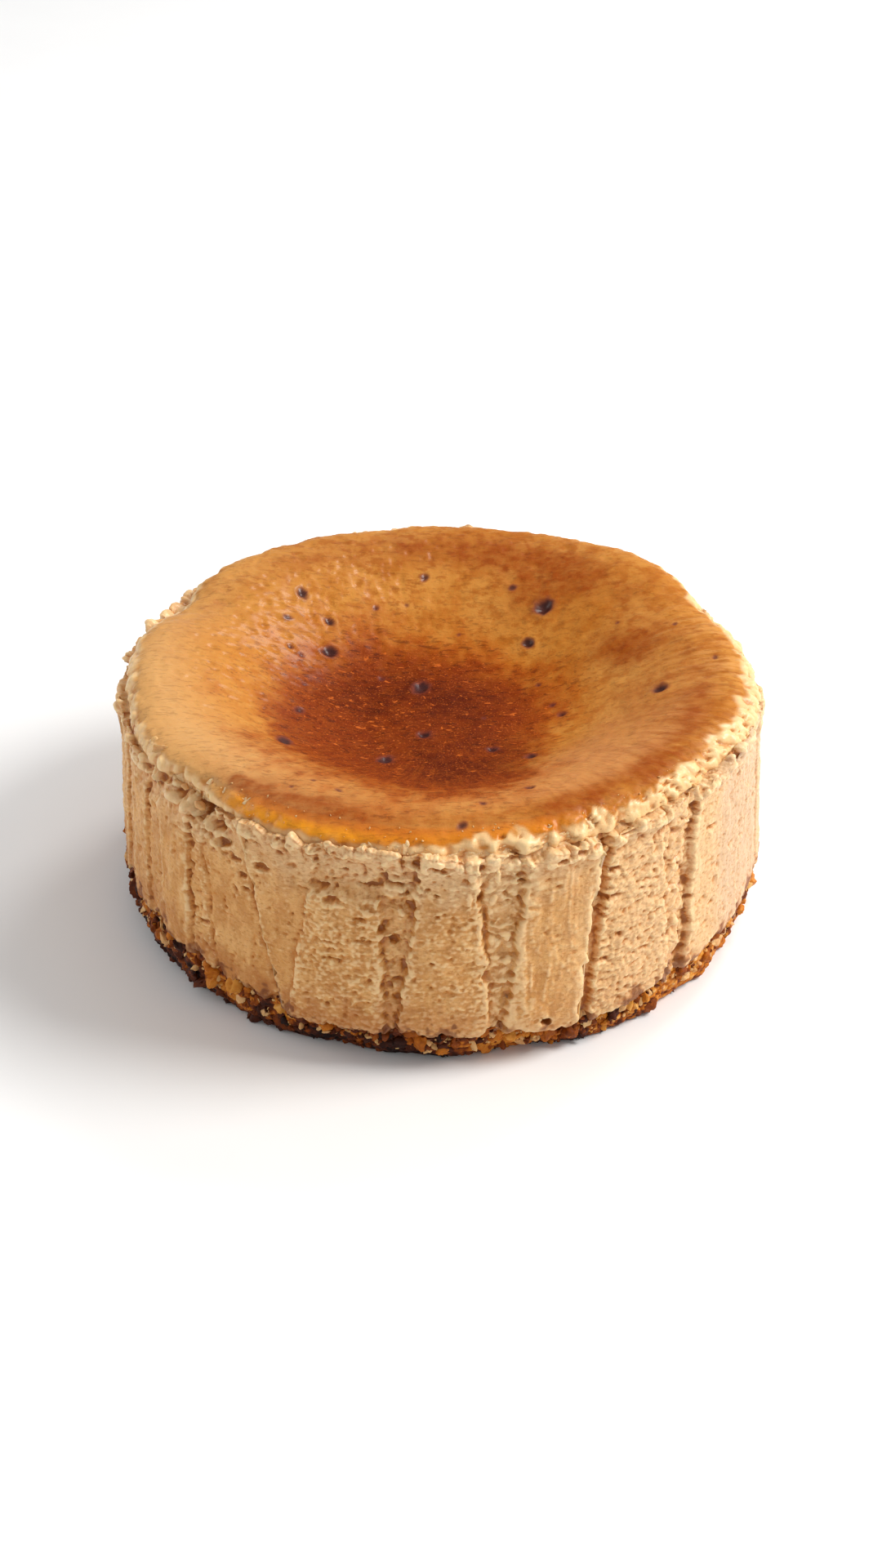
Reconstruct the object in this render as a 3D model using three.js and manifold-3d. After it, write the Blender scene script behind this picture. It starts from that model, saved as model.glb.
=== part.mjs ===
// A whole, uncut coffee cheesecake from a 15 cm tin: a baked body with a sunken browned top and a
// rolled rim, on a thin base of biscuit crumbs. Its side keeps the flat facets and folds of the
// paper that lined the tin.
//
// Millimetres, +Z up. The origin is the middle of the flat underside and the front faces -Y.
// Angles are in degrees from the front, positive towards +X.

import * as THREE from "three";
import { mergeVertices } from "three/addons/utils/BufferGeometryUtils.js";
import Module from "manifold-3d";

// Side of the cake
const footRadius = 71.2; // at the underside
const flareRadius = 75.2; // widest, just above the crumbs
const flareHeight = 14;
const lipRadius = 73.8; // at the torn top edge of the paper's facets
const lipHeight = 53.4;
const lipRagged = 0.8; // how far the torn edge wanders up and down

// Rim and sunken top
const skinEdgeRadius = 72.9; // where the browned skin ends, above the lip
const skinEdgeHeight = 55.6;
const crestRadius = 65.5;
const crestHeight = 60.5;
const dishDepth = 15.6; // crest to the middle of the top
const dishFloorRadius = 17; // the top is level inside this

// Biscuit base
const baseThickness = 7; // under the body
const baseWallWidth = 9; // crumbs climb the side over this width
const seatInset = 2.6; // body and base meet face to face up to this far inside the side
const contactGap = 0.3;
const crumbRelief = 0.75;

// Facets left by the folded paper, round the whole side. Each starts at a fold that leans: its
// angle is `top` at the lip and `foot` near the base. `proud` is how far the facet stands out.
// `upTo` ends a facet that is torn away above that height.
const facets = [
  { top: -84, foot: -83, proud: 0.9 },
  { top: -77, foot: -76.5, proud: 0.1 },
  { top: -72.5, foot: -71, proud: 0.9 },
  { top: -64.5, foot: -63.5, proud: 0.2 },
  { top: -59.5, foot: -56, proud: 1.1 },
  { top: -47.5, foot: -41.5, proud: 0.1 },
  { top: -36, foot: -28.5, proud: 0.9 },
  { top: -20.5, foot: -26.4, proud: 1.7, upTo: 42 },
  { top: -9.8, foot: -9.6, proud: 0 },
  { top: -2.6, foot: -7.3, proud: 1.9 },
  { top: 6.9, foot: 7.8, proud: 0.2 },
  { top: 14.3, foot: 10.1, proud: 2.1 },
  { top: 27.6, foot: 23.5, proud: -1.3 },
  { top: 29.9, foot: 26, proud: 0.9 },
  { top: 41, foot: 42.4, proud: 0 },
  { top: 47.3, foot: 44.6, proud: -1.3 },
  { top: 49.6, foot: 46.6, proud: 1.1 },
  { top: 66, foot: 64, proud: 0.6 },
  { top: 78, foot: 79, proud: 1.1 },
  { top: 91, foot: 93, proud: 0 },
  { top: 97, foot: 96, proud: 1.5 },
  { top: 110, foot: 107, proud: 0.2 },
  { top: 114, foot: 112, proud: 1.1 },
  { top: 127, foot: 129, proud: -0.9 },
  { top: 129.4, foot: 131.2, proud: 1.6 },
  { top: 143, foot: 139, proud: 0.4 },
  { top: 150, foot: 153, proud: 1.2 },
  { top: 163, foot: 160, proud: -0.8 },
  { top: 165.6, foot: 162.6, proud: 1.8 },
  { top: 181, foot: 184, proud: 0.3 },
  { top: 190, foot: 188, proud: 1.2 },
  { top: 204, foot: 207, proud: 0 },
  { top: 210, foot: 210, proud: 1.7 },
  { top: 224, foot: 221, proud: 0.4 },
  { top: 233, foot: 235, proud: 1.1 },
  { top: 246, foot: 242, proud: -0.9 },
  { top: 248.4, foot: 244.8, proud: 1.4 },
  { top: 262, foot: 264, proud: 0.3 },
  { top: 269, foot: 268, proud: 1 },
];
const foldWidth = 0.5; // degrees over which one facet steps to the next
const facetFootHeight = 12;
const facetTopHeight = 50;
const columnSpacing = 4.4; // widest step between two columns of points inside a facet, degrees

// How high the crumbs climb the side, and how far the foot stands out, at angles round the cake
const crumbLine = [
  [-90, 17], [-74, 13.6], [-56, 13.8], [-36, 11.6], [-27, 9.4], [-8, 9], [8, 8.2], [17, 6.8],
  [27, 6], [35, 8.2], [42, 12], [52, 15.6], [69, 18], [88, 14], [120, 9], [150, 12], [178, 8],
  [205, 13], [236, 9], [255, 14], [270, 17],
];
const footLine = [
  [-84, 2.2], [-76, 0.8], [-57, -0.5], [-50, 0.8], [-48, -1.2], [-37, 0], [-24, 0], [-19, -1.9],
  [-10, 0.1], [-5, -0.5], [0, 0.7], [5, 0], [8.5, -1.6], [19, -1.4], [24, 1], [37, 1], [41, 1.5],
  [43, -0.3], [50, 0.2], [55, 1.8], [62, -0.2], [80, 0.9], [98, 0.2], [108, -1.2], [113, 1],
  [131, -0.6], [152, 0.9], [162, -1.4], [186, 0.6], [208, -0.8], [222, 1.1], [243, -1.2],
  [264, 0.8], [276, 2.2],
];

// Pinches and swells of the rim: at an angle, over a width, how far it moves out and up
const rimWaves = [
  { angle: -134, width: 11, out: 0.5, up: 0.5 },
  { angle: -116, width: 7, out: -2.9, up: -1.1 },
  { angle: -98, width: 8, out: 0.9, up: 0.2 },
  { angle: -66, width: 15, out: 1.2, up: -1.2 },
  { angle: -46, width: 8, out: -1.4, up: -0.2 },
  { angle: -28, width: 9, out: 0.9, up: 0.2 },
  { angle: 0, width: 22, out: 0.6, up: -0.8 },
  { angle: 52, width: 8, out: -0.8, up: -0.4 },
  { angle: 76, width: 13, out: 1.3, up: -0.4 },
  { angle: 114, width: 9, out: -2.4, up: -1 },
  { angle: 137, width: 9, out: 1.1, up: 0.7 },
  { angle: 180, width: 26, out: -0.9, up: -0.4 },
];

// Torn hollows in the side: middle (angle, height), half widths (degrees, mm) and depth
const tears = [
  { angle: -52, height: 51.5, wide: 9, tall: 3.4, depth: 3.4 },
  { angle: -41, height: 50, wide: 5, tall: 2.6, depth: 2.2 },
  { angle: -14, height: 47, wide: 8, tall: 4.5, depth: 1.1 },
  { angle: 0.6, height: 54, wide: 2.6, tall: 1.5, depth: 2.6 },
  { angle: 10.6, height: 51.5, wide: 3.4, tall: 3, depth: 2.4 },
  { angle: 20, height: 54.6, wide: 6, tall: 1.4, depth: 1.6 },
  { angle: 52, height: 56, wide: 3, tall: 2.5, depth: 2 },
  { angle: 104, height: 52, wide: 6, tall: 4, depth: 2 },
  { angle: 158, height: 50, wide: 8, tall: 4, depth: 2.2 },
  { angle: 206, height: 52, wide: 6, tall: 3.5, depth: 2 },
  { angle: 252, height: 50, wide: 7, tall: 4, depth: 2.4 },
];
const grooveDepth = 1.5; // ledge between the lip of the facets and the skin
const grooveHeight = 54.4;

// The largest burst bubbles of the top: place, half length of the mouth, and depth
const bubbles = [
  { x: 25.2, y: 36.3, half: 2.1, depth: 1.6 },
  { x: -26.9, y: 22.4, half: 2, depth: 1.4 },
  { x: -4.9, y: 13.2, half: 2, depth: 1.2 },
  { x: 21.1, y: 27.1, half: 1.7, depth: 1.2 },
  { x: 50.8, y: -6.6, half: 1.8, depth: 1.2 },
  { x: -34, y: 37.9, half: 1.5, depth: 1.1 },
  { x: -4, y: -8, half: 1.7, depth: 1.1 },
  { x: -12.8, y: -19.9, half: 1.6, depth: 1 },
];

const bodyColour = 0xcfa376; // pale coffee
const bodyRoughness = 0.62;
const baseColour = 0x8a5429; // baked biscuit crumbs
const baseRoughness = 0.85;

const { lerp, clamp, smoothstep, degToRad } = THREE.MathUtils;

const wasm = await Module();
wasm.setup();

// Degrees from `a` to `b` the short way round.
const turnBetween = (a, b) => ((((b - a) % 360) + 540) % 360) - 180;

const bell = (x) => Math.exp(-x * x);

// Value at an angle of a list of [angle, value] that covers the whole round.
function alongLine(line, angle) {
  const start = line[0][0];
  const turned = ((((angle - start) % 360) + 360) % 360) + start;
  const k = line.findIndex(([at]) => at > turned);
  if (k < 0) return line[line.length - 1][1];
  const [fromAngle, from] = line[k - 1];
  const [toAngle, to] = line[k];
  return lerp(from, to, (turned - fromAngle) / (toAngle - fromAngle));
}

// Repeatable value in -1..1 for two whole numbers.
function scatter(i, j) {
  const s = Math.sin(i * 12.9898 + j * 78.233) * 43758.5453;
  return 2 * (s - Math.floor(s)) - 1;
}

// Quarter ellipse from the foot out to the flare, then a straight, slightly leaning side.
function sideRadius(height) {
  if (height < flareHeight) {
    const left = 1 - height / flareHeight;
    return footRadius + (flareRadius - footRadius) * Math.sqrt(1 - left * left);
  }
  return lerp(flareRadius, lipRadius, (height - flareHeight) / (lipHeight - flareHeight));
}

// Columns of points run up the side along the folds, so every fold is a clean edge.
function makeColumns() {
  const columns = [];
  facets.forEach((facet, k) => {
    const next = facets[(k + 1) % facets.length];
    const turn = k === facets.length - 1 ? 360 : 0;
    const topWidth = next.top + turn - facet.top;
    const footWidth = next.foot + turn - facet.foot;
    const steps = Math.max(1, Math.round(Math.max(topWidth, footWidth) / columnSpacing));
    for (let i = 0; i <= steps; i++) {
      const share = i / steps;
      const inset = foldWidth * (0.5 - share);
      columns.push({
        facet,
        top: facet.top + topWidth * share + inset,
        foot: facet.foot + footWidth * share + inset,
      });
    }
  });
  return columns;
}

const columns = makeColumns();

function angleAt(column, height) {
  const rise = (height - facetFootHeight) / (facetTopHeight - facetFootHeight);
  return lerp(column.foot, column.top, clamp(rise, 0, 1));
}

// How far the side stands out of its round form at one point of a column.
function sideRelief(column, angle, height, foot) {
  const { proud, upTo = Infinity } = column.facet;
  const grip = smoothstep(height, foot, foot + 4) * (1 - smoothstep(height, upTo, upTo + 3));
  const torn = tears.reduce((sum, tear) => {
    const across = turnBetween(tear.angle, angle) / tear.wide;
    const upward = (height - tear.height) / tear.tall;
    return sum + tear.depth * bell(across) * bell(upward);
  }, 0);
  const uneven = 0.25 * Math.sin(degToRad(angle * 7) + height * 0.23);
  return proud * grip - torn + uneven;
}

function rimShift(angle, key) {
  return rimWaves.reduce(
    (sum, wave) => sum + wave[key] * bell(turnBetween(wave.angle, angle) / wave.width),
    0,
  );
}

// Top of the crumbs at a radius: level inside, climbing to the crumb line at the side.
function seatHeight(angle, radius) {
  const climb = smoothstep(radius, sideRadius(flareHeight) - baseWallWidth, flareRadius - seatInset);
  return lerp(baseThickness, alongLine(crumbLine, angle), climb);
}

// A row of points round the cake: `place` gives radius and height for a column.
const seatRadii = [30, 52, flareRadius - baseWallWidth, flareRadius - seatInset];
const onAxis = (height) => () => [0, height];

function seatRow(radius, lift) {
  return (column) => [radius, seatHeight(column.foot, radius) + lift];
}

function bodySideRow(share) {
  return (column) => {
    const foot = alongLine(crumbLine, column.foot) + contactGap;
    const ragged = lipRagged * scatter(Math.round(column.top), 7) * share ** 8;
    const height = lerp(foot, lipHeight, share) + ragged;
    const angle = angleAt(column, height);
    return [sideRadius(height) + sideRelief(column, angle, height, foot - 1), height];
  };
}

function grooveRow(column) {
  const shift = rimShift(column.top, "out");
  const relief = sideRelief(column, column.top, grooveHeight, 0);
  const kept = 0.3; // share of the facets' relief that reaches into the groove
  return [lipRadius - grooveDepth + shift + kept * relief, grooveHeight];
}

// Quarter ellipse from the skin's edge (turn 0) up to the crest (turn 1).
function rollRow(turn) {
  return (column) => {
    const swing = (turn * Math.PI) / 2;
    const lobe = 0.5 * scatter(Math.round(column.top / 6), 3) * (1 - turn);
    const out = rimShift(column.top, "out") + lobe;
    const up = rimShift(column.top, "up");
    return [
      crestRadius + out + (skinEdgeRadius - crestRadius) * Math.cos(swing),
      skinEdgeHeight + (crestHeight + up - skinEdgeHeight) * Math.sin(swing),
    ];
  };
}

// The sunken top: level floor, then a smooth climb to the crest.
function dishRow(share) {
  return (column) => {
    const out = rimShift(column.top, "out");
    const up = rimShift(column.top, "up");
    const radius = share * (crestRadius + out);
    const climb = smoothstep(radius, dishFloorRadius, crestRadius + out);
    const swell = 0.4 * share * Math.sin(degToRad(column.top * 3 + 40));
    return [radius, crestHeight - dishDepth + (dishDepth + up) * climb + swell * (1 - share)];
  };
}

function baseSideRow(share, index) {
  return (column, k) => {
    const crumbTop = alongLine(crumbLine, column.foot);
    const height = share * (crumbTop - 0.5);
    const round = 1 - share;
    const crumb = crumbRelief * scatter(k, index);
    const stand = alongLine(footLine, column.foot) * round + 0.4 * column.facet.proud * share;
    return [sideRadius(height) + stand + crumb, height];
  };
}

const flatFootRow = (column) => [footRadius + alongLine(footLine, column.foot) - 0.6, 0];

// Closes rows of points round the axis into one solid, on the mesh of a lathe. Rows that run down
// the side from the top turn the lathe's faces inwards, so they are turned back.
function solidFromRows(rows, downwards = false) {
  const profile = rows.map(() => new THREE.Vector2(1, 0));
  const lathe = new THREE.LatheGeometry(profile, columns.length);
  const position = lathe.getAttribute("position");
  for (let i = 0; i <= columns.length; i++) {
    const k = i % columns.length;
    const column = columns[k];
    rows.forEach((place, j) => {
      const [radius, height] = place(column, k);
      const angle = degToRad(angleAt(column, height));
      const x = radius * Math.sin(angle);
      const y = -radius * Math.cos(angle);
      position.setXYZ(i * rows.length + j, x, y, height);
    });
  }
  lathe.deleteAttribute("normal");
  lathe.deleteAttribute("uv");
  const merged = mergeVertices(lathe, 1e-4);
  const corners = merged.index.array;
  const kept = [];
  for (let t = 0; t < corners.length; t += 3) {
    const [a, b, c] = corners.subarray(t, t + 3);
    if (a === b || b === c || c === a) continue;
    if (downwards) kept.push(a, c, b);
    else kept.push(a, b, c);
  }
  const mesh = new wasm.Mesh({
    numProp: 3,
    vertProperties: merged.getAttribute("position").array,
    triVerts: new Uint32Array(kept),
  });
  return new wasm.Manifold(mesh);
}

// A squat ball sunk in the top, to cut one burst bubble.
function bubbleSolid({ x, y, half, depth }) {
  const ball = new THREE.IcosahedronGeometry(1, 1);
  ball.deleteAttribute("normal");
  ball.deleteAttribute("uv");
  const radius = Math.hypot(x, y);
  const climb = smoothstep(radius, dishFloorRadius, crestRadius);
  const level = crestHeight - dishDepth * (1 - climb);
  ball.scale(half * 1.1, half, depth);
  ball.translate(x, y, level);
  const merged = mergeVertices(ball, 1e-4);
  return new wasm.Manifold(
    new wasm.Mesh({
      numProp: 3,
      vertProperties: merged.getAttribute("position").array,
      triVerts: new Uint32Array(merged.index.array),
    }),
  );
}

function meshFromSolid(name, solid, colour, roughness) {
  const { vertProperties, triVerts } = solid.getMesh();
  const geometry = new THREE.BufferGeometry();
  geometry.setAttribute("position", new THREE.BufferAttribute(vertProperties, 3));
  geometry.setIndex(new THREE.BufferAttribute(triVerts, 1));
  geometry.computeVertexNormals();
  const material = new THREE.MeshStandardMaterial({ color: colour, roughness, metalness: 0 });
  const mesh = new THREE.Mesh(geometry, material);
  mesh.name = name;
  return mesh;
}

function makeCheesecake() {
  const sideShares = [0, 0.06, 0.15, 0.27, 0.4, 0.53, 0.66, 0.78, 0.88, 0.95, 1];
  const rollTurns = [0, 0.3, 0.58, 0.8, 1];
  const dishShares = [0.88, 0.75, 0.62, 0.5, 0.38, 0.22];
  const rows = [
    onAxis(baseThickness + contactGap),
    ...seatRadii.map((radius) => seatRow(radius, contactGap)),
    ...sideShares.map(bodySideRow),
    grooveRow,
    ...rollTurns.map(rollRow),
    ...dishShares.map(dishRow),
    onAxis(crestHeight - dishDepth),
  ];
  const body = bubbles.reduce(
    (solid, bubble) => solid.subtract(bubbleSolid(bubble)),
    solidFromRows(rows),
  );
  return meshFromSolid("cheesecake", body, bodyColour, bodyRoughness);
}

function makeBiscuitBase() {
  // The seat's rows run outwards as the body's do, so that the two faces are parallel.
  const sideShares = [1, 0.8, 0.56, 0.32, 0.1];
  const rows = [
    onAxis(baseThickness),
    ...seatRadii.map((radius) => seatRow(radius, 0)),
    ...sideShares.map(baseSideRow),
    flatFootRow,
    () => [40, 0],
    onAxis(0),
  ];
  return meshFromSolid("biscuit_base", solidFromRows(rows, true), baseColour, baseRoughness);
}

const cake = new THREE.Group();
cake.add(makeCheesecake(), makeBiscuitBase());

export default cake;
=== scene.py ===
import math
import bpy
import numpy as np
from mathutils import Matrix


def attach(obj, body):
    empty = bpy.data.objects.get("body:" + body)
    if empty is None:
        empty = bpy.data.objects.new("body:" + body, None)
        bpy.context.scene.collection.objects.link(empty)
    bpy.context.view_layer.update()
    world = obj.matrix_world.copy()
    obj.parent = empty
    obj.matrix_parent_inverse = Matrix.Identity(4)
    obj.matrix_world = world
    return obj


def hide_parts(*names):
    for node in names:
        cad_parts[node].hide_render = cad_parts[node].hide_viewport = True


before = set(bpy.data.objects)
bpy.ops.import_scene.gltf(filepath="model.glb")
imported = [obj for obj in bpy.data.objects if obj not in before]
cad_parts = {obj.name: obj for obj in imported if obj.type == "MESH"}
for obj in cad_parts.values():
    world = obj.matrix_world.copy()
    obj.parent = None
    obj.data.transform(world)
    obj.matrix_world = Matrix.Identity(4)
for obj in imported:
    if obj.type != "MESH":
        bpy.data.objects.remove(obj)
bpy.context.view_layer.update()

# A whole coffee cheesecake. Lengths are in millimetres until a mesh is made, angles in degrees from the
# front (-Y), positive towards +X.
mm = 0.001

cake = {
    "footRadius": 71.2,  # at the underside
    "flareRadius": 75.2,  # widest, just above the crumbs
    "flareHeight": 14.0,
    "lipRadius": 73.8,  # top edge of the paper's facets
    "lipHeight": 53.4,
    "edgeRadius": 72.9,  # where the roll of the rim ends
    "edgeHeight": 55.6,
    "crestRadius": 65.5,
    "crestHeight": 60.5,
    "dishDepth": 15.6,
    "floorRadius": 17.0,  # the top is level inside this
}


# Helpers for arrays

def smooth(x, low, high):  # 0 below low, 1 above high, an S-curve between
    t = np.clip((x - low) / (high - low), 0, 1)
    return t * t * (3 - 2 * t)


def bell(x):  # 1 at 0, falling off to both sides
    return np.exp(-x * x)


def mix(a, b, t):
    return a + (b - a) * t


def turnTo(angle, centre):  # degrees from centre to angle, the short way round
    return (angle - centre + 180) % 360 - 180


def nearAngle(angle, centre, width):  # 1 at the centre, falling off over that many degrees
    return bell(turnTo(angle, centre) / width)


def alongLine(line, angle):  # value of a list of (angle, value) pairs that covers the whole round
    at, value = np.array(line, float).T
    at = np.concatenate([at - 360, at, at + 360])
    return np.interp(turnTo(angle, 0), at, np.tile(value, 3))


def cellValue(ix, iy, iz, seed):  # repeatable value in 0..1 for whole-number cells, by folding products
    h = ix * 374761393 + iy * 668265263 + iz * 1440662683 + seed * 1274126177
    h = (h ^ (h >> 13)) & 0xFFFFFFFF
    h = (h * 1103515245 + 12345) & 0xFFFFFFFF
    h = ((h ^ (h >> 16)) * 668265263) & 0xFFFFFFFF
    return ((h ^ (h >> 15)) & 0xFFFFFF) / 0xFFFFFF


def noise(x, y, z, seed):  # cell values at the eight corners, blended with S-curves, -1..1
    x, y, z = np.broadcast_arrays(x, y, z)
    ix, iy, iz = (np.floor(a).astype(np.int64) for a in (x, y, z))
    fx, fy, fz = (a * a * (3 - 2 * a) for a in (x - ix, y - iy, z - iz))
    total = np.zeros(x.shape)
    for dx in (0, 1):
        for dy in (0, 1):
            for dz in (0, 1):
                share = (fx if dx else 1 - fx) * (fy if dy else 1 - fy) * (fz if dz else 1 - fz)
                total += share * cellValue(ix + dx, iy + dy, iz + dz, seed)
    return 2 * total - 1


def layered(x, y, z, seed):  # three layers of noise, each half as large and half as strong as the last
    return sum(noise(x * 2**k, y * 2**k, z * 2**k, seed + k) / 2**k for k in range(3))


def hollows(u, v, seed, chance, small=0.16, large=0.62):
    # Each cell may hold one bowl at a jittered place, as deep as size times (1 - (distance / size)^2)^0.7.
    # The deepest wins
    u, v, chance = np.broadcast_arrays(u, v, chance)
    iu, iv = np.floor(u).astype(np.int64), np.floor(v).astype(np.int64)
    deepest = np.zeros(u.shape)
    for du in (-1, 0, 1):
        for dv in (-1, 0, 1):
            cu, cv = iu + du, iv + dv
            middleU = cu + cellValue(cu, cv, 0, seed)
            middleV = cv + cellValue(cu, cv, 1, seed)
            size = small + (large - small) * cellValue(cu, cv, 2, seed) ** 2
            there = cellValue(cu, cv, 3, seed) < chance
            apart = ((u - middleU) ** 2 + (v - middleV) ** 2) / size**2
            deepest = np.maximum(deepest, np.where(there, size * np.clip(1 - apart, 0, 1) ** 0.7, 0))
    return deepest


def curds(x, y, z, seed):
    # Rounded lumps with creases between them: 1 - (distance to the nearest jittered cell point)^2
    x, y, z = np.broadcast_arrays(x, y, z)
    ix, iy, iz = (np.floor(a).astype(np.int64) for a in (x, y, z))
    nearest = np.full(x.shape, 9.0)
    for dx in (-1, 0, 1):
        for dy in (-1, 0, 1):
            for dz in (-1, 0, 1):
                cx, cy, cz = ix + dx, iy + dy, iz + dz
                apart = sum(
                    (c + cellValue(cx, cy, cz, seed + k) - a) ** 2
                    for k, (c, a) in enumerate(((cx, x), (cy, y), (cz, z)))
                )
                nearest = np.minimum(nearest, apart)
    return 1 - nearest


def scallops(angle, count, seed):
    # Round lobes side by side along the rim, `count` in a round: half circles at jittered places, of which
    # the highest wins
    along = angle / 360 * count
    cell = np.floor(along).astype(np.int64)
    highest = np.zeros(along.shape)
    for step in (-1, 0, 1):
        number = (cell + step) % count
        middle = cell + step + 0.2 + 0.6 * cellValue(number, 0, 0, seed)
        reach = 0.45 + 0.4 * cellValue(number, 1, 0, seed)
        tall = 0.35 + 0.65 * cellValue(number, 2, 0, seed)
        highest = np.maximum(highest, tall * np.sqrt(np.clip(1 - ((along - middle) / reach) ** 2, 0, 1)))
    return highest


def blurred(field, rowReach, columnReach):  # three box averages along each direction
    for axis, reach in ((0, rowReach), (1, columnReach)):
        for _ in range(3):
            pads = [(0, 0), (0, 0)]
            pads[axis] = (reach + 1, reach)
            total = np.cumsum(np.pad(field, pads, mode="edge"), axis=axis)
            n = field.shape[axis]
            upper = np.take(total, np.arange(2 * reach + 1, 2 * reach + 1 + n), axis=axis)
            lower = np.take(total, np.arange(0, n), axis=axis)
            field = (upper - lower) / (2 * reach + 1)
    return field


def around(radius, angle, height):  # points from radius, angle from the front, and height
    a = np.radians(angle)
    return np.stack(np.broadcast_arrays(radius * np.sin(a), -radius * np.cos(a), height), -1)


def onSide(angle, height=0.0):  # x, y and z of places on the side, where its noise is read
    return np.moveaxis(around(cake["flareRadius"], angle, height), -1, 0)


def gridNormals(points):  # unit cross product of the steps along columns and rows
    across = np.gradient(points, axis=1)
    up = np.gradient(points, axis=0)
    n = np.cross(across, up)
    return n / np.maximum(np.linalg.norm(n, axis=-1, keepdims=True), 1e-9)


def curveWeights(count, samples):
    # Uniform cubic B-spline through `count` controls, its ends held, as a (samples, count) matrix
    t = np.linspace(0, count - 1, samples)
    k = np.minimum(t.astype(int), count - 2)
    f = t - k
    shares = [(1 - f) ** 3 / 6, (3 * f**3 - 6 * f**2 + 4) / 6,
              (-3 * f**3 + 3 * f**2 + 3 * f + 1) / 6, f**3 / 6]
    weights = np.zeros((samples, count))
    for step, share in zip((-1, 0, 1, 2), shares):
        np.add.at(weights, (np.arange(samples), np.clip(k + step, 0, count - 1)), share)
    return weights


def gridFaces(rows, columns, closeRows=False, closeColumns=False):
    # Corner numbers of the quads of a grid, whose last row or column may join the first
    index = np.arange(rows * columns).reshape(rows, columns)
    if closeRows:
        index = np.concatenate([index, index[:1]], 0)
    if closeColumns:
        index = np.concatenate([index, index[:, :1]], 1)
    corners = (index[:-1, :-1], index[:-1, 1:], index[1:, 1:], index[1:, :-1])
    return np.stack(corners, -1).reshape(-1, 4)


def signedVolume(points, quads, triangles):  # six times the volume, from the corners' triple products
    fans = np.concatenate([quads[:, [0, 1, 2]], quads[:, [0, 2, 3]], triangles])
    a, b, c = (points[fans[:, i]] for i in range(3))
    return np.einsum("ij,ij->", a, np.cross(b, c))


def addObject(name, data):
    made = bpy.data.objects.new(name, data)
    bpy.context.scene.collection.objects.link(made)
    return made


def makePiece(name, points, quads, triangles=None, attributes=None, sharpFrom=80):
    # One mesh object from arrays in millimetres; faces are turned round if they enclose less than nothing
    quads = np.asarray(quads, np.int64).reshape(-1, 4)
    triangles = np.zeros((0, 3), np.int64) if triangles is None else np.asarray(triangles, np.int64)
    points = np.asarray(points, float).reshape(-1, 3)
    if signedVolume(points, quads, triangles) < 0:
        quads, triangles = quads[:, ::-1], triangles[:, ::-1]
    mesh = bpy.data.meshes.new(name)
    mesh.vertices.add(len(points))
    mesh.vertices.foreach_set("co", (points * mm).astype(np.float32).ravel())
    corners = np.concatenate([quads.ravel(), triangles.ravel()]).astype(np.int32)
    sizes = np.concatenate([np.full(len(quads), 4), np.full(len(triangles), 3)])
    mesh.loops.add(len(corners))
    mesh.loops.foreach_set("vertex_index", corners)
    mesh.polygons.add(len(sizes))
    mesh.polygons.foreach_set("loop_start", (np.cumsum(sizes) - sizes).astype(np.int32))
    mesh.polygons.foreach_set("use_smooth", np.ones(len(sizes), bool))
    mesh.update(calc_edges=True)
    for key, values in (attributes or {}).items():
        layer = mesh.attributes.new(key, "FLOAT", "POINT")
        layer.data.foreach_set("value", np.asarray(values, np.float32).ravel())
    mesh.set_sharp_from_angle(angle=math.radians(sharpFrom))
    piece = addObject(name, mesh)
    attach(piece, "root")
    print(name, len(quads) * 2 + len(triangles), "triangles")
    return piece


# Materials

class Value:
    # A socket of a material; arithmetic on it adds Math nodes
    def __init__(self, maker, socket):
        self.maker, self.socket = maker, socket

    def math(self, operation, *others):
        return self.maker.add("ShaderNodeMath", {"operation": operation}, dict(enumerate(others)))

    def __add__(self, other):
        return self.math("ADD", self, other)

    def __radd__(self, other):
        return self.math("ADD", other, self)

    def __sub__(self, other):
        return self.math("SUBTRACT", self, other)

    def __rsub__(self, other):
        return self.math("SUBTRACT", other, self)

    def __mul__(self, other):
        return self.math("MULTIPLY", self, other)

    def __rmul__(self, other):
        return self.math("MULTIPLY", other, self)

    def __truediv__(self, other):
        return self.math("DIVIDE", self, other)

    def __pow__(self, other):
        return self.math("POWER", self, other)

    def between(self, low, high):  # 0 below low, 1 above high
        settings = {"interpolation_type": "SMOOTHSTEP"}
        inputs = {"Value": self, "From Min": low, "From Max": high}
        return self.maker.add("ShaderNodeMapRange", settings, inputs)


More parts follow.
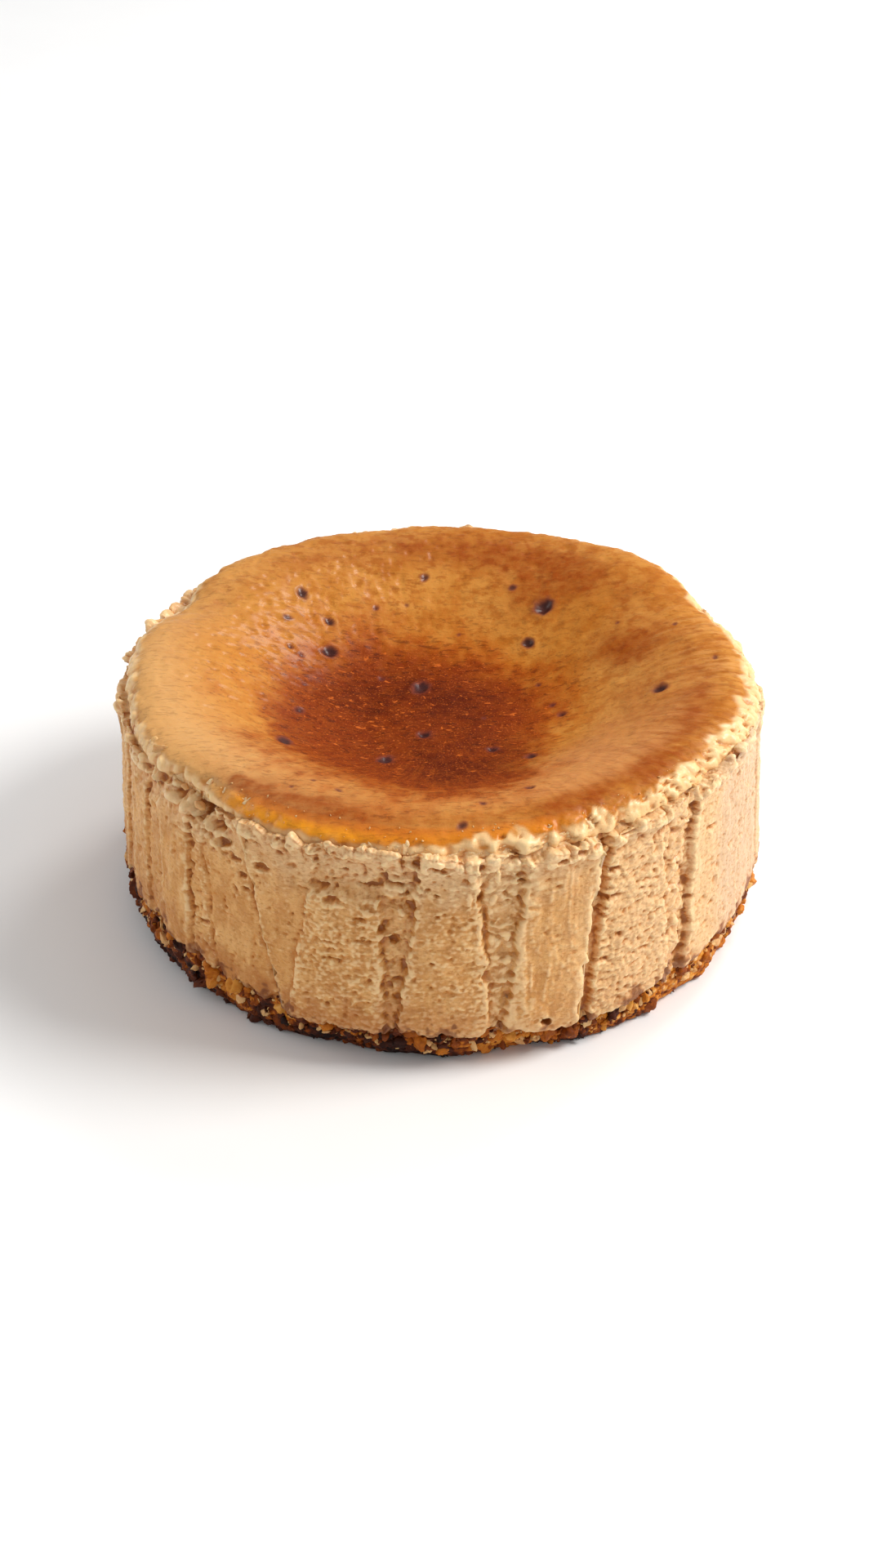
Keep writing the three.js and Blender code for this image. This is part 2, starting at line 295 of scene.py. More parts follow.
class Maker:
    # Builds one material, node by node
    def __init__(self, name):
        self.material = bpy.data.materials.new(name)
        self.material.use_nodes = True
        self.tree = self.material.node_tree
        self.tree.nodes.clear()

    def add(self, kind, settings=None, inputs=None, output=0):
        # A node of that type: its settings first, then the values or links of its sockets
        node = self.tree.nodes.new(kind)
        for key, value in (settings or {}).items():
            if key == "stops":
                self.setStops(node.color_ramp, value)
            else:
                setattr(node, key, value)
        for key, value in (inputs or {}).items():
            socket = node.inputs[key]
            if isinstance(value, Value):
                self.tree.links.new(value.socket, socket)
            else:
                socket.default_value = value
        return Value(self, node.outputs[output]) if node.outputs else None

    def setStops(self, ramp, stops):
        while len(ramp.elements) > 1:
            ramp.elements.remove(ramp.elements[0])
        ramp.elements[0].position, ramp.elements[0].color = stops[0]
        for position, colour in stops[1:]:
            ramp.elements.new(position).color = colour

    def place(self, stretch=(1, 1, 1), turn=(0, 0, 0)):  # object coordinates, stretched and turned
        where = self.add("ShaderNodeTexCoord", output="Object")
        return self.add("ShaderNodeMapping", {}, {"Vector": where, "Scale": stretch, "Rotation": turn})

    def noise(self, place, perMetre, detail, roughness=0.55, distortion=0.0):
        inputs = {"Vector": place, "Scale": perMetre, "Detail": detail, "Roughness": roughness,
                  "Distortion": distortion}
        return self.add("ShaderNodeTexNoise", {}, inputs)

    def part(self, place, axis):  # one coordinate of a place
        return self.add("ShaderNodeSeparateXYZ", {}, {0: place}, output=axis)

    def masks(self, *names):  # the piece's own attributes of those names
        return [self.add("ShaderNodeAttribute", {"attribute_name": name}, output="Fac") for name in names]

    def blend(self, share, a, b):  # colours; a and b may be colours or links
        settings = {"data_type": "RGBA", "clamp_factor": True}
        return self.add("ShaderNodeMix", settings, {0: share, 6: a, 7: b}, output=2)

    def paint(self, tone, coats):  # lays colours over a tone one after another, each by its own share
        for share, *screen in coats:
            tone = self.blend(share, tone, colour(*screen))
        return tone

    def bump(self, height, distance, strength):
        inputs = {"Height": height, "Distance": distance, "Strength": strength}
        return self.add("ShaderNodeBump", {}, inputs)

    def finish(self, inputs):
        shader = self.add("ShaderNodeBsdfPrincipled", {"subsurface_method": "RANDOM_WALK"}, inputs)
        self.add("ShaderNodeOutputMaterial", {}, {"Surface": shader})
        return self.material


def colour(red, green, blue):  # screen values 0..255 to a linear colour
    return tuple((c / 255) ** 2.2 for c in (red, green, blue)) + (1.0,)


# Form of the whole cake

rimWaves = [  # angle, width, out, up: pinches and swells of the rim
    (-134, 11, 0.5, 0.5), (-116, 7, -2.9, -1.1), (-98, 8, 0.9, 0.2), (-66, 15, 1.2, -1.2),
    (-46, 8, -1.4, -0.2), (-28, 9, 0.9, 0.2), (0, 22, 0.6, -0.8), (52, 8, -0.8, -0.4), (76, 13, 1.3, -0.4),
    (114, 9, -2.4, -1.0), (137, 9, 1.1, 0.7), (180, 26, -0.9, -0.4),
]
crumbLine = [  # how high the crumbs climb the side
    (-90, 17), (-74, 13.6), (-56, 13.8), (-36, 11.6), (-27, 9.6), (-8, 9.4), (8, 9), (17, 8.2), (27, 7.6),
    (35, 8.6), (42, 10.4), (52, 11.4), (69, 12.4), (88, 12), (120, 9), (150, 12), (178, 8), (205, 13),
    (236, 9), (255, 14),
]
footLine = [  # how far the foot stands out
    (-84, 2.2), (-76, 1.0), (-57, 0.2), (-50, 0.8), (-48, -1.2), (-37, 0), (-24, 0), (-19, -1.9),
    (-10, 0.1), (-5, -0.5), (0, 0.7), (5, 0), (8.5, -1.6), (19, -1.4), (24, 1), (37, 1), (41, 1.5),
    (43, -0.3), (50, 0.2), (55, 1.8), (62, -0.2), (80, 0.9), (98, 0.2), (108, -1.2), (113, 1), (131, -0.6),
    (152, 0.9), (162, -1.4), (186, 0.6), (208, -0.8), (222, 1.1), (243, -1.2), (264, 0.8),
]


def sideRadius(height):  # quarter ellipse from the foot to the flare, then a slightly leaning side
    left = np.clip(1 - height / cake["flareHeight"], 0, 1)
    low = mix(cake["footRadius"], cake["flareRadius"], np.sqrt(1 - left**2))
    rise = (height - cake["flareHeight"]) / (cake["lipHeight"] - cake["flareHeight"])
    return np.where(rise < 0, low, mix(cake["flareRadius"], cake["lipRadius"], rise))


def rimShift(angle):  # (out, up) of the rim at an angle: the sum of its waves
    bells = [(nearAngle(angle, at, width), out, up) for at, width, out, up in rimWaves]
    return sum(b * out for b, out, _ in bells), sum(b * up for b, _, up in bells)


def rollPoint(turn, angle, inset=0.0):
    # Quarter ellipse of the rim: turn 0 at the crest, 90 at its outer edge, moved in along its normal
    out, up = rimShift(angle)
    wide = cake["edgeRadius"] - cake["crestRadius"] - inset
    tall = cake["crestHeight"] + up - cake["edgeHeight"] - inset
    t = np.radians(turn)
    return cake["crestRadius"] + out + wide * np.sin(t), cake["edgeHeight"] + tall * np.cos(t)


def dishHeight(radius, angle):  # level floor, then an S-curve up to the crest
    out, up = rimShift(angle)
    crest = cake["crestRadius"] + out
    climb = smooth(radius, cake["floorRadius"], crest)
    return cake["crestHeight"] - cake["dishDepth"] + (cake["dishDepth"] + up) * climb


# Side of the body

side = {
    "columnStep": 0.27,  # mm between columns at the front
    "backStep": 0.34,
    "rows": 186,  # up the side
    "lipRows": 62,  # over the lip, the groove and the rim's outer wall
    "leanFrom": 12.0,  # the folds lean between these heights
    "leanTo": 50.0,
    "spare": 8,  # columns worked out beyond each end, so that neighbours look the same at their joint
    "stepWidth": 0.45,  # mm over which a fold steps
    "sunk": 3.5,  # how far the side runs down behind the crumbs
    "lobes": (104, 53),  # of the lip: how many in a round, and their seed
    "smallLobes": (220, 54),
    "lobesUp": (2.2, 0.6),  # how high the two sizes of lobe rise, and how far they stand out
    "lobesOut": (1.7, 0.5),
    "wall": ((97, 0.3), (82, 0.4), (66, 0.5), (50, 0.6), (34, 0.9)),  # degrees of the roll, mm inside it
    "innerRadius": 62.0,  # the unseen back of the ring
    "innerHeights": (56.0, 30.0, 8.0),
}
# Facets left by the folded paper: angle of the fold at its top and foot, how far the facet stands out, then
# shares of pores, torn crumb and paper stripes, and the depth of the fold's cut
facets = [
    (-84, -83, 0.9, 0.2, 0.2, 0.6, 0.9),
    (-77, -76.5, 0.1, 0.3, 0.3, 0.3, 0.6),
    (-72.5, -71, 0.9, 0.2, 0.2, 0.6, 0.5),
    (-64.5, -63.5, 0.2, 0.3, 0.3, 0.4, 0.6),
    (-59.5, -56, 1.0, 0.05, 0.0, 0.8, 0.3),
    (-49.3, -48.3, 0.5, 0.6, 0.1, 0.2, 1.0),
    (-46, -42.5, 0.1, 0.15, 0.0, 0.5, 0.5),
    (-36, -28.5, 0.8, 0.25, 0.05, 0.3, 0.9),
    (-21.5, -26.4, 2.0, 0.75, 0.0, 0.0, 0.2),
    (-9.8, -9.6, 0.3, 0.4, 0.7, 0.0, 0.4),
    (-3.4, -7.3, 1.8, 0.5, 0.0, 0.25, 0.4),
    (6.4, 7.8, 0.4, 0.3, 0.9, 0.0, 0.5),
    (14.3, 10.6, 2.0, 0.05, 0.0, 1.0, 0.3),
    (27.6, 23.5, -0.9, 0.0, 0.2, 0.0, 1.3),
    (29.6, 25.8, 0.9, 1.0, 0.3, 0.0, 0.2),
    (41, 42.4, 0.2, 0.4, 0.8, 0.0, 0.4),
    (47.3, 44.6, -0.6, 0.1, 0.5, 0.0, 0.4),
    (49.3, 46.6, 1.0, 0.25, 0.05, 0.8, 0.2),
    (66, 64, 0.6, 0.15, 0.05, 0.9, 0.3),
    (78, 79, 1.1, 0.2, 0.05, 0.8, 0.4),
    (91, 93, 0.0, 0.5, 0.4, 0.1, 0.9),
    (97, 96, 1.4, 0.3, 0.05, 0.7, 0.5),
    (110, 107, 0.3, 0.5, 0.7, 0.0, 0.5),
    (114, 112, 1.1, 0.8, 0.1, 0.2, 0.4),
    (127, 129, -0.6, 0.1, 0.3, 0.0, 0.5),
    (129.4, 131.2, 1.5, 0.15, 0.0, 0.9, 0.3),
    (143, 139, 0.4, 0.6, 0.6, 0.0, 0.6),
    (150, 153, 1.2, 0.7, 0.1, 0.3, 0.4),
    (163, 160, -0.6, 0.2, 0.4, 0.0, 0.4),
    (165.6, 162.6, 1.7, 0.2, 0.0, 0.9, 0.3),
    (181, 184, 0.4, 0.6, 0.7, 0.0, 0.6),
    (190, 188, 1.2, 0.8, 0.1, 0.1, 0.4),
    (204, 207, 0.2, 0.4, 0.7, 0.0, 0.5),
    (210, 210, 1.6, 0.1, 0.0, 0.9, 0.4),
    (224, 221, 0.4, 0.7, 0.4, 0.1, 0.5),
    (233, 235, 1.1, 0.2, 0.05, 0.8, 0.4),
    (246, 242, -0.6, 0.2, 0.4, 0.0, 0.5),
    (248.4, 244.8, 1.4, 0.2, 0.0, 0.9, 0.3),
    (262, 264, 0.3, 0.5, 0.5, 0.1, 0.5),
    (269, 268, 1.0, 0.2, 0.05, 0.7, 0.4),
]
tornAbove = {-21.5: 44}  # the facet with that fold is torn away above that height
tears = [  # broad torn hollows: angle, height, half widths in degrees and mm, depth
    (-53, 52.5, 8, 3.2, 3.6), (-42, 51.5, 5, 2.8, 3.0), (-65, 48.5, 4, 2.4, 1.4), (-14, 47, 8, 4.5, 0.9),
    (104, 52, 6, 4, 1.8), (158, 50, 8, 4, 2.0), (206, 52, 6, 3.5, 1.8), (252, 50, 7, 4, 2.0),
]
rockyZones = [  # where the tear is deep and rough: angle, height, half widths, share
    (-58, 51, 10, 4.5, 1.0), (-46, 52, 9, 4.0, 1.0), (-66, 48, 5, 4, 0.6), (-13, 48, 8, 4, 0.35),
    (36, 54, 9, 3.5, 0.5), (58, 55, 10, 3.5, 0.7), (78, 55, 9, 4, 0.7), (104, 52, 9, 4, 0.8),
    (158, 51, 9, 4, 0.8), (206, 52, 8, 4, 0.8), (252, 51, 8, 4, 0.8),
]
tornZones = [  # where crumb is torn, whatever the facet: angle, height, half widths, share
    (-28, 53, 9, 2.6, 0.55), (-13, 48.5, 9, 6, 0.75), (-54, 52.5, 15, 5, 1.0), (-43, 47, 6, 3, 0.9),
    (-76, 53, 12, 4, 0.9), (-7.5, 36, 2.8, 14, 0.9), (10.4, 40, 2.6, 15, 1.0), (20, 54, 7, 1.6, 0.7),
    (1, 54.5, 4, 1.6, 0.6), (35, 53, 8, 4.5, 0.9), (44.5, 30, 2.4, 24, 1.0), (60, 55, 14, 4.5, 1.0),
    (79, 54, 10, 5.5, 1.0), (104, 52, 12, 5, 0.9), (135, 54, 14, 3.5, 0.8), (160, 51, 12, 5, 0.9),
    (184, 54, 12, 4, 0.8), (206, 52, 10, 5, 0.9), (228, 54, 12, 3.5, 0.8), (250, 51, 12, 5, 0.9),
]
hollowSpots = [  # single hollows and cracks: angle, height, half widths in degrees and mm, depth
    (-57.5, 53.4, 2.8, 1.7, 2.2), (-51.5, 53.6, 3.0, 1.6, 2.4), (-46, 52.6, 2.8, 1.6, 2.6),
    (-41, 51.6, 2.2, 1.4, 2.2), (-57, 54.3, 2.2, 1.0, 1.3), (-52.4, 52.2, 2.2, 1.3, 1.9),
    (-47.7, 51.8, 2.0, 1.5, 2.1), (-42.5, 49.7, 2.0, 1.2, 2.0), (-44.4, 47.5, 1.6, 0.8, 1.3),
    (-40.6, 47.2, 1.7, 0.8, 1.3), (-48.8, 46.8, 1.1, 0.7, 1.2), (-37.4, 44.7, 1.4, 0.7, 1.2),
    (-48.3, 42.5, 0.9, 1.0, 1.0), (-36, 41.1, 1.1, 0.8, 1.2), (-35.4, 37.7, 1.1, 0.7, 1.0),
    (-48, 37.5, 0.8, 0.8, 0.8), (-49.2, 29, 0.7, 0.8, 0.6), (-31.6, 45.8, 1.7, 1.1, 1.3),
    (-27.8, 51.1, 0.8, 0.6, 0.7), (-20.1, 45, 1.3, 0.8, 1.1), (-18.5, 42.5, 1.6, 1.0, 1.5),
    (-16.5, 49.7, 1.1, 0.5, 0.9), (-12.5, 46.5, 1.6, 0.6, 0.9), (-7.5, 47.5, 1.5, 0.6, 1.0),
    (-6, 45.5, 1.3, 0.6, 0.9), (-8, 33.6, 0.8, 1.2, 1.0), (-8.6, 21.8, 0.7, 1.0, 1.0),
    (0.4, 53.5, 1.6, 1.1, 1.4), (11.8, 54, 1.9, 1.2, 1.6), (17.6, 10.8, 0.95, 0.95, 2.4),
    (30.4, 45.8, 1.2, 0.9, 1.2), (28.4, 39.3, 0.9, 0.8, 0.9), (28.2, 36.5, 0.7, 0.6, 0.8),
    (19.9, 52.8, 1.0, 0.7, 1.2), (23.6, 53.8, 1.0, 0.8, 1.3), (-22, 52.6, 1.0, 0.5, 0.7),
    (6.4, 45, 0.6, 2.4, 0.9), (7.4, 40, 0.5, 1.8, 0.9), (50.5, 55, 1.3, 1.4, 1.6), (62, 56, 1.6, 1.0, 1.4),
    (68, 53, 1.5, 0.8, 1.2), (-18.5, 31.8, 2.6, 0.3, 0.55), (-18, 27.5, 2.0, 0.35, 0.6),
    (-13.2, 33.2, 1.6, 0.3, 0.5), (-14.5, 38, 1.5, 0.3, 0.45), (-2.2, 47.5, 0.5, 0.5, 0.8),
    (-0.7, 46.2, 0.6, 0.4, 0.8), (-0.6, 41, 0.5, 0.5, 0.7), (-1.4, 29, 0.5, 0.6, 0.8),
    (74, 57, 2.0, 1.0, 1.5), (82, 55, 1.6, 1.2, 1.5),
]
lumps = [  # single lumps and ridges, listed as the hollows are, with their height
    (-54.5, 50.6, 2.6, 1.4, 1.5), (-49.3, 50.2, 2.2, 1.3, 1.7), (-44, 49.6, 2.2, 1.1, 1.5),
    (-60.5, 51.6, 2.0, 2.0, 1.4), (-64.5, 50.4, 2.2, 1.6, 1.3), (-38.6, 52.4, 1.6, 1.3, 1.3),
    (-52, 55.4, 1.4, 0.8, 1.2), (-47, 54.6, 1.3, 0.8, 1.1), (-34, 53.4, 2.0, 1.5, 0.9),
    (-27.3, 53.6, 3.2, 1.6, 1.1), (-21.8, 53.6, 1.2, 0.9, 0.7), (-19, 54, 0.9, 0.9, 0.8),
    (-16.2, 54, 1.0, 0.8, 0.7), (18.2, 52.2, 1.3, 1.2, 0.8), (21.8, 52.6, 1.1, 1.1, 0.8),
    (25.8, 52.4, 1.6, 1.7, 1.0), (28.2, 51.8, 0.8, 0.9, 1.5), (5.2, 50, 0.9, 2.2, 0.9),
    (4.6, 45, 0.6, 2.6, 0.5), (6.2, 36, 0.5, 3.2, 0.5), (9.6, 50, 0.6, 2.6, 0.9),
    (12.4, 49, 0.9, 1.8, 1.0), (8.8, 44, 0.7, 1.5, 0.8), (10.5, 35, 0.9, 1.3, 0.8),
    (9.3, 38.5, 0.8, 1.0, 0.7), (11, 28, 0.7, 1.2, 0.7), (-2.6, 53.2, 0.7, 1.5, 0.8),
    (3.0, 53.6, 0.8, 1.4, 0.8), (14.4, 53.4, 0.9, 1.0, 0.8), (-12.2, 41, 1.3, 1.2, 0.9),
    (-6.5, 41.5, 0.8, 1.4, 0.7), (-9, 30, 0.7, 1.2, 0.6), (31.5, 52, 1.4, 1.3, 0.8),
    (43.5, 40, 0.8, 1.6, 0.7), (45.4, 44.5, 0.8, 1.4, 0.8), (44.4, 33, 0.9, 1.4, 0.8),
    (43.8, 25, 0.8, 1.6, 0.8),
]
lipLine = [  # how far the lip rises over its mean height
    (-66, 0), (-50, -1.5), (-41, -0.5), (-37.5, 0.6), (-34.5, 1.9), (-32, 1.7), (-30.6, 1.0), (-28.5, 2.2),
    (-25.5, 2.3), (-23.6, 1.3), (-21, 1.5), (-19, 2.0), (-17, 1.5), (-14, 1.5), (-10, 1.2), (-5, 1.2),
    (-3.3, 1.6), (0, 1.3), (3, 1.6), (5, 0.6), (7, 0), (9, 1), (12, 1.4), (14, 0), (17, 0), (18.5, 0.8),
    (20, 0), (21.7, 0.8), (23.4, -0.3), (25, 1.4), (27, 1.4), (28.5, 0), (31, 1), (40, 1.5), (50, 1.8),
    (60, 2.9), (76, 2.4), (86, 0.4), (95, -0.8), (108, -1.2), (120, -1.0), (134, 1), (160, 0.5), (190, 1),
    (220, 0.6), (250, 1),
]
lobeLine = [(-90, 1.0), (60, 1.0), (84, 0.45), (120, 0.35), (136, 1.0)]  # strength of the lobes of the lip
grooveLine = [  # depth of the groove behind the lip
    (-90, 0.4), (-66, 0.5), (-44, 0.8), (-37, 0.2), (-22, 0.0), (-10, 0.1), (-4, 0.5), (12, 0.5),
    (26, 0.6), (29, 0.2), (46, 0.1), (90, 0.1), (98, 1.0), (110, 0.5), (130, 1.2), (145, 0.6), (168, 1.3),
    (185, 0.6), (212, 1.2), (230, 0.5), (250, 1.0), (262, 0.4),
]


def foldAngle(fold, height):  # where one fold lies at a height, with a slight wobble
    top, foot = fold
    lean = np.clip((height - side["leanFrom"]) / (side["leanTo"] - side["leanFrom"]), 0, 1)
    wobble = 0.34 * noise(height / 3.6, top * 1.7, 0, 11) + 0.2 * noise(height / 1.0, top * 1.7, 0, 12)
    return mix(foot, top, lean) + wobble


def facetFields(angle, height):
    # Sums of steps: every fold adds the difference between its two facets. Returns how far they stand out,
    # the shares of pores, torn crumb and stripes, and the depth of the pits along the folds
    count = len(facets)

    def facetValues(number):
        top, _, proud, *shares, _ = facets[number % count]
        if top in tornAbove:
            proud = proud * (1 - smooth(height, tornAbove[top] - 1.5, tornAbove[top] + 2))
        return proud, *shares

    x, y, z = onSide(angle, height)
    nibble = 0.5 * noise(x / 2.8, y / 2.8, z / 2.8, 18) + 0.42 * noise(x / 0.95, y / 0.95, z / 0.95, 19)
    fields = [value + np.zeros(x.shape) for value in facetValues(-2)]
    cuts = 0.0
    for k in range(-1, count + 1):
        row, before, after = facets[k % count], facetValues(k - 1), facetValues(k)
        beyond = angle - 360 * (k // count) - foldAngle(row[:2], height)
        across = np.radians(beyond) * cake["flareRadius"] + nibble
        step = smooth(across, -side["stepWidth"], side["stepWidth"])
        fields = [field + (b - a) * step for field, a, b in zip(fields, before, after)]
        lower = np.where(after[0] > before[0], -0.4, 0.4)  # the cut runs along the foot of the step
        patchy = noise(height / 1.7, k * 3.3, 0, 13) + 0.6 * noise(height / 6, k * 3.3, 0, 14)
        patchy = smooth(patchy, -0.5, 0.7)
        cuts = cuts + row[-1] * (0.1 + 1.1 * patchy) * bell((across - lower) / (0.42 + 0.45 * patchy))
    return fields, cuts


def spotSum(spots, angle, height):
    # Sum of bowls: depth times (1 - distance^2)^0.7, their outlines bent by noise
    x, y, z = onSide(angle, height)
    bend = 0.34 * noise(x / 1.3, y / 1.3, z / 1.3, 15)
    total = 0.0
    for at, level, wide, tall, depth in spots:
        apart = (turnTo(angle, at) / wide) ** 2 + ((height - level) / tall) ** 2
        total = total + depth * np.clip(1 + bend - apart, 0, 1) ** 0.7
    return total


def bellSum(spots, angle, height):  # sum of soft spots: amount times a bell each way
    return sum(
        amount * nearAngle(angle, at, wide) * bell((height - level) / tall)
        for at, level, wide, tall, amount in spots
    )


def spreadSpots(seed, count, lowest, highest, deepest):  # hollows at random round the back
    random = np.random.default_rng(seed)
    return [
        (random.uniform(90, 276), random.uniform(lowest, highest), random.uniform(0.5, 2.0),
         random.uniform(0.4, 1.2), random.uniform(0.4, deepest))
        for _ in range(count)
    ]


def sideShape(angle, height):
    # Relief of the side over its round form, and the shares that its texture needs
    (stand, pores, torn, stripes), cuts = facetFields(angle, height)
    x, y, z = onSide(angle, height)
    foot = alongLine(crumbLine, angle)
    ragged = foot + 2.4 * noise(x / 3.4, y / 3.4, 0, 16) + 1.7 * noise(x / 1.2, y / 1.2, z / 3, 17) - 0.9
    sheet = smooth(height, ragged - 0.9, ragged + 1.3)
    grip = smooth(height, foot - 2.5, foot + 0.5)
    stand = stand * grip
    torn = np.clip(torn + bellSum(tornZones, angle, height), 0, 1)
    uneven = 0.35 * noise(x / 16, y / 16, z / 16, 21) + 0.26 * noise(x / 5, y / 5, z / 7, 22)
    spots, raised = hollowSpots, lumps
    if angle.max() > 95:
        spots = spots + spreadSpots(7, 46, 40, 56, 2.0) + spreadSpots(8, 60, 12, 54, 1.0)
        raised = raised + spreadSpots(9, 60, 49, 55, 1.0)
    relief = (
        stand - cuts * grip - bellSum(tears, angle, height) + uneven
        - spotSum(spots, angle, height) + spotSum(raised, angle, height) - 1.5 * (1 - sheet)
    )
    rocky = np.clip(bellSum(rockyZones, angle, height), 0, 1)
    stripes = stripes * (1 - torn)
    return relief, {"pores": pores, "torn": torn, "stripes": stripes, "rocky": rocky, "stand": stand}


def sideTexture(angle, height, shares):
    # Small relief along the normal: curds where torn, else pores, slits, layers and stripes of the paper
    s = np.radians(angle) * cake["flareRadius"]
    x, y, z = onSide(angle, height)
    bend = 0.5 * noise(x / 3, y / 3, z / 3, 31)
    torn, pores, stripes, rocky = (shares[key] for key in ("torn", "pores", "stripes", "rocky"))
    big = curds(x / 7.5 + 0.6 * bend, y / 7.5, z / 3.9 + 0.6 * bend, 29) - 0.72
    coarse = curds(x / 3.0 + bend, y / 3.0, z / 2.3 + bend, 32) - 0.72
    fine = curds(x / 1.15, y / 1.15, z / 0.85, 35) - 0.72
    wide = hollows(s / 3.6 + bend, z / 1.9 + bend, 38, 0.3 * pores + 0.5 * torn)
    small = hollows(s / 1.3 + bend, z / 1.1 + bend, 39, 0.5 * pores + 0.07)
    slits = hollows(s / 4.0 + bend, z / 1.1 + 0.7 * bend, 46, 0.45 * pores + 0.05)
    layers = noise(s / 3.2, z / 0.75, 0, 40)
    soft = layered(x / 2.6, y / 2.6, z / 3.2, 45)
    swing = s + 0.9 * noise(s / 6, z / 9, 0, 43)
    stripe = noise(swing / 1.5, z / 20, 0, 41) + 0.5 * noise(swing / 0.7, z / 12, 0, 42)
    stripe = stripe * (1 + noise(s / 5, z / 12, 0, 44))
    plain = (0.2 + 0.45 * pores) * fine + 0.25 * soft + 0.08 * (1 - stripes) * layers
    plain = plain + 0.17 * stripes * stripe
    lumpy = big * (0.9 + 2.5 * rocky) + coarse * (1.4 - 0.5 * rocky) + fine * (0.5 - 0.3 * rocky)
    return mix(plain, lumpy, torn) - 1.1 * wide - 0.75 * small - 0.6 * slits


def lipLobes(angle, amounts):  # the lobes of both sizes, each times its amount
    large, small = (scallops(angle, *side[key]) for key in ("lobes", "smallLobes"))
    return alongLine(lobeLine, angle) * (amounts[0] * large + amounts[1] * small)


def lipHeightAt(angle):
    # The torn edge follows its list, wanders up and down, and is scalloped at two sizes
    x, y, _ = onSide(angle)
    wander = alongLine(lipLine, angle) - 1.1 + 0.35 * noise(x / 5, y / 5, 0.5, 51)
    return cake["lipHeight"] + wander + lipLobes(angle, side["lobesUp"])


def sidePoints(fromFold, toFold, columns):
    # Rows of points up the side, over its lip, down the groove behind it and up under the skin. Columns are
    # spread evenly between two leaning folds
    beyond = side["spare"] / (columns - 1)
    share = np.linspace(-beyond, 1 + beyond, columns + 2 * side["spare"])[None, :]

    def angleAt(height):
        return mix(foldAngle(fromFold, height), foldAngle(toFold, height), share)

    lipAngle = angleAt(cake["lipHeight"])
    lipTop = lipHeightAt(lipAngle)
    foot = alongLine(crumbLine, lipAngle) - side["sunk"]
    height = mix(foot, lipTop, np.linspace(0, 1, side["rows"])[:, None])
    angle = angleAt(np.minimum(height, cake["lipHeight"]))
    relief, shares = sideShape(angle, height)
    lobe = lipLobes(lipAngle, side["lobesOut"])
    shares["rocky"] = np.maximum(shares["rocky"], 0.5 * bell((height - lipTop + 1) / 1.6))
    relief = relief + (lobe - 0.2) * bell((height - lipTop + 1.0) / 2.1)
    radius = sideRadius(height) + relief
    last = radius[-1:]
    groove = alongLine(grooveLine, lipAngle)
    depth = bellSum(tears, lipAngle, cake["lipHeight"])
    inner = cake["lipRadius"] - 0.9 * groove - depth
    wall = [rollPoint(turn, lipAngle, inset) for turn, inset in side["wall"]]
    wall = [(r - 0.5 * depth * (i < 2), z) for i, (r, z) in enumerate(wall)]
    path = [
        (last, lipTop),  # over the lip
        (last + 0.1, lipTop + 0.3),
        (last - 0.5, lipTop + 0.6),
        (mix(last, inner, 0.55), lipTop + 0.45 - 0.3 * groove),  # into the groove
        (inner + 0.1, lipTop + 0.9 - 1.4 * groove - 0.25 * lobe),
        *wall,
        (wall[-1][0] - 4, wall[-1][1] - 1.5),  # under the skin
    ]
    weights = curveWeights(len(path), side["lipRows"])
    pathRadius = weights @ np.concatenate([np.broadcast_to(r, lipTop.shape) for r, _ in path])
    pathHeight = weights @ np.concatenate([np.broadcast_to(z, lipTop.shape) for _, z in path])
    allRadii, allHeights = np.concatenate([radius, pathRadius]), np.concatenate([height, pathHeight])
    allAngles = np.concatenate([angle, np.broadcast_to(lipAngle, pathRadius.shape)])
    allPoints = around(allRadii, allAngles, allHeights)
    fade = np.linspace(0, 1, side["lipRows"])[:, None]
    upper = {
        "pores": shares["pores"][-1:] * (1 - fade),
        "torn": mix(shares["torn"][-1:], 0.72, smooth(fade, 0.02, 0.3)),
        "stripes": shares["stripes"][-1:] * (1 - smooth(fade, 0, 0.1)),
        "rocky": mix(shares["rocky"][-1:], 0.3, smooth(fade, 0.02, 0.3)),
        "stand": np.broadcast_to(shares["stand"][-1:], fade.shape[:1] + share.shape[1:]),
    }
    allShares = {key: np.concatenate([shares[key], upper[key]]) for key in shares}
    bulk = np.concatenate([relief, np.broadcast_to(relief[-1:], pathRadius.shape)])
    return allPoints, allAngles, allShares, bulk


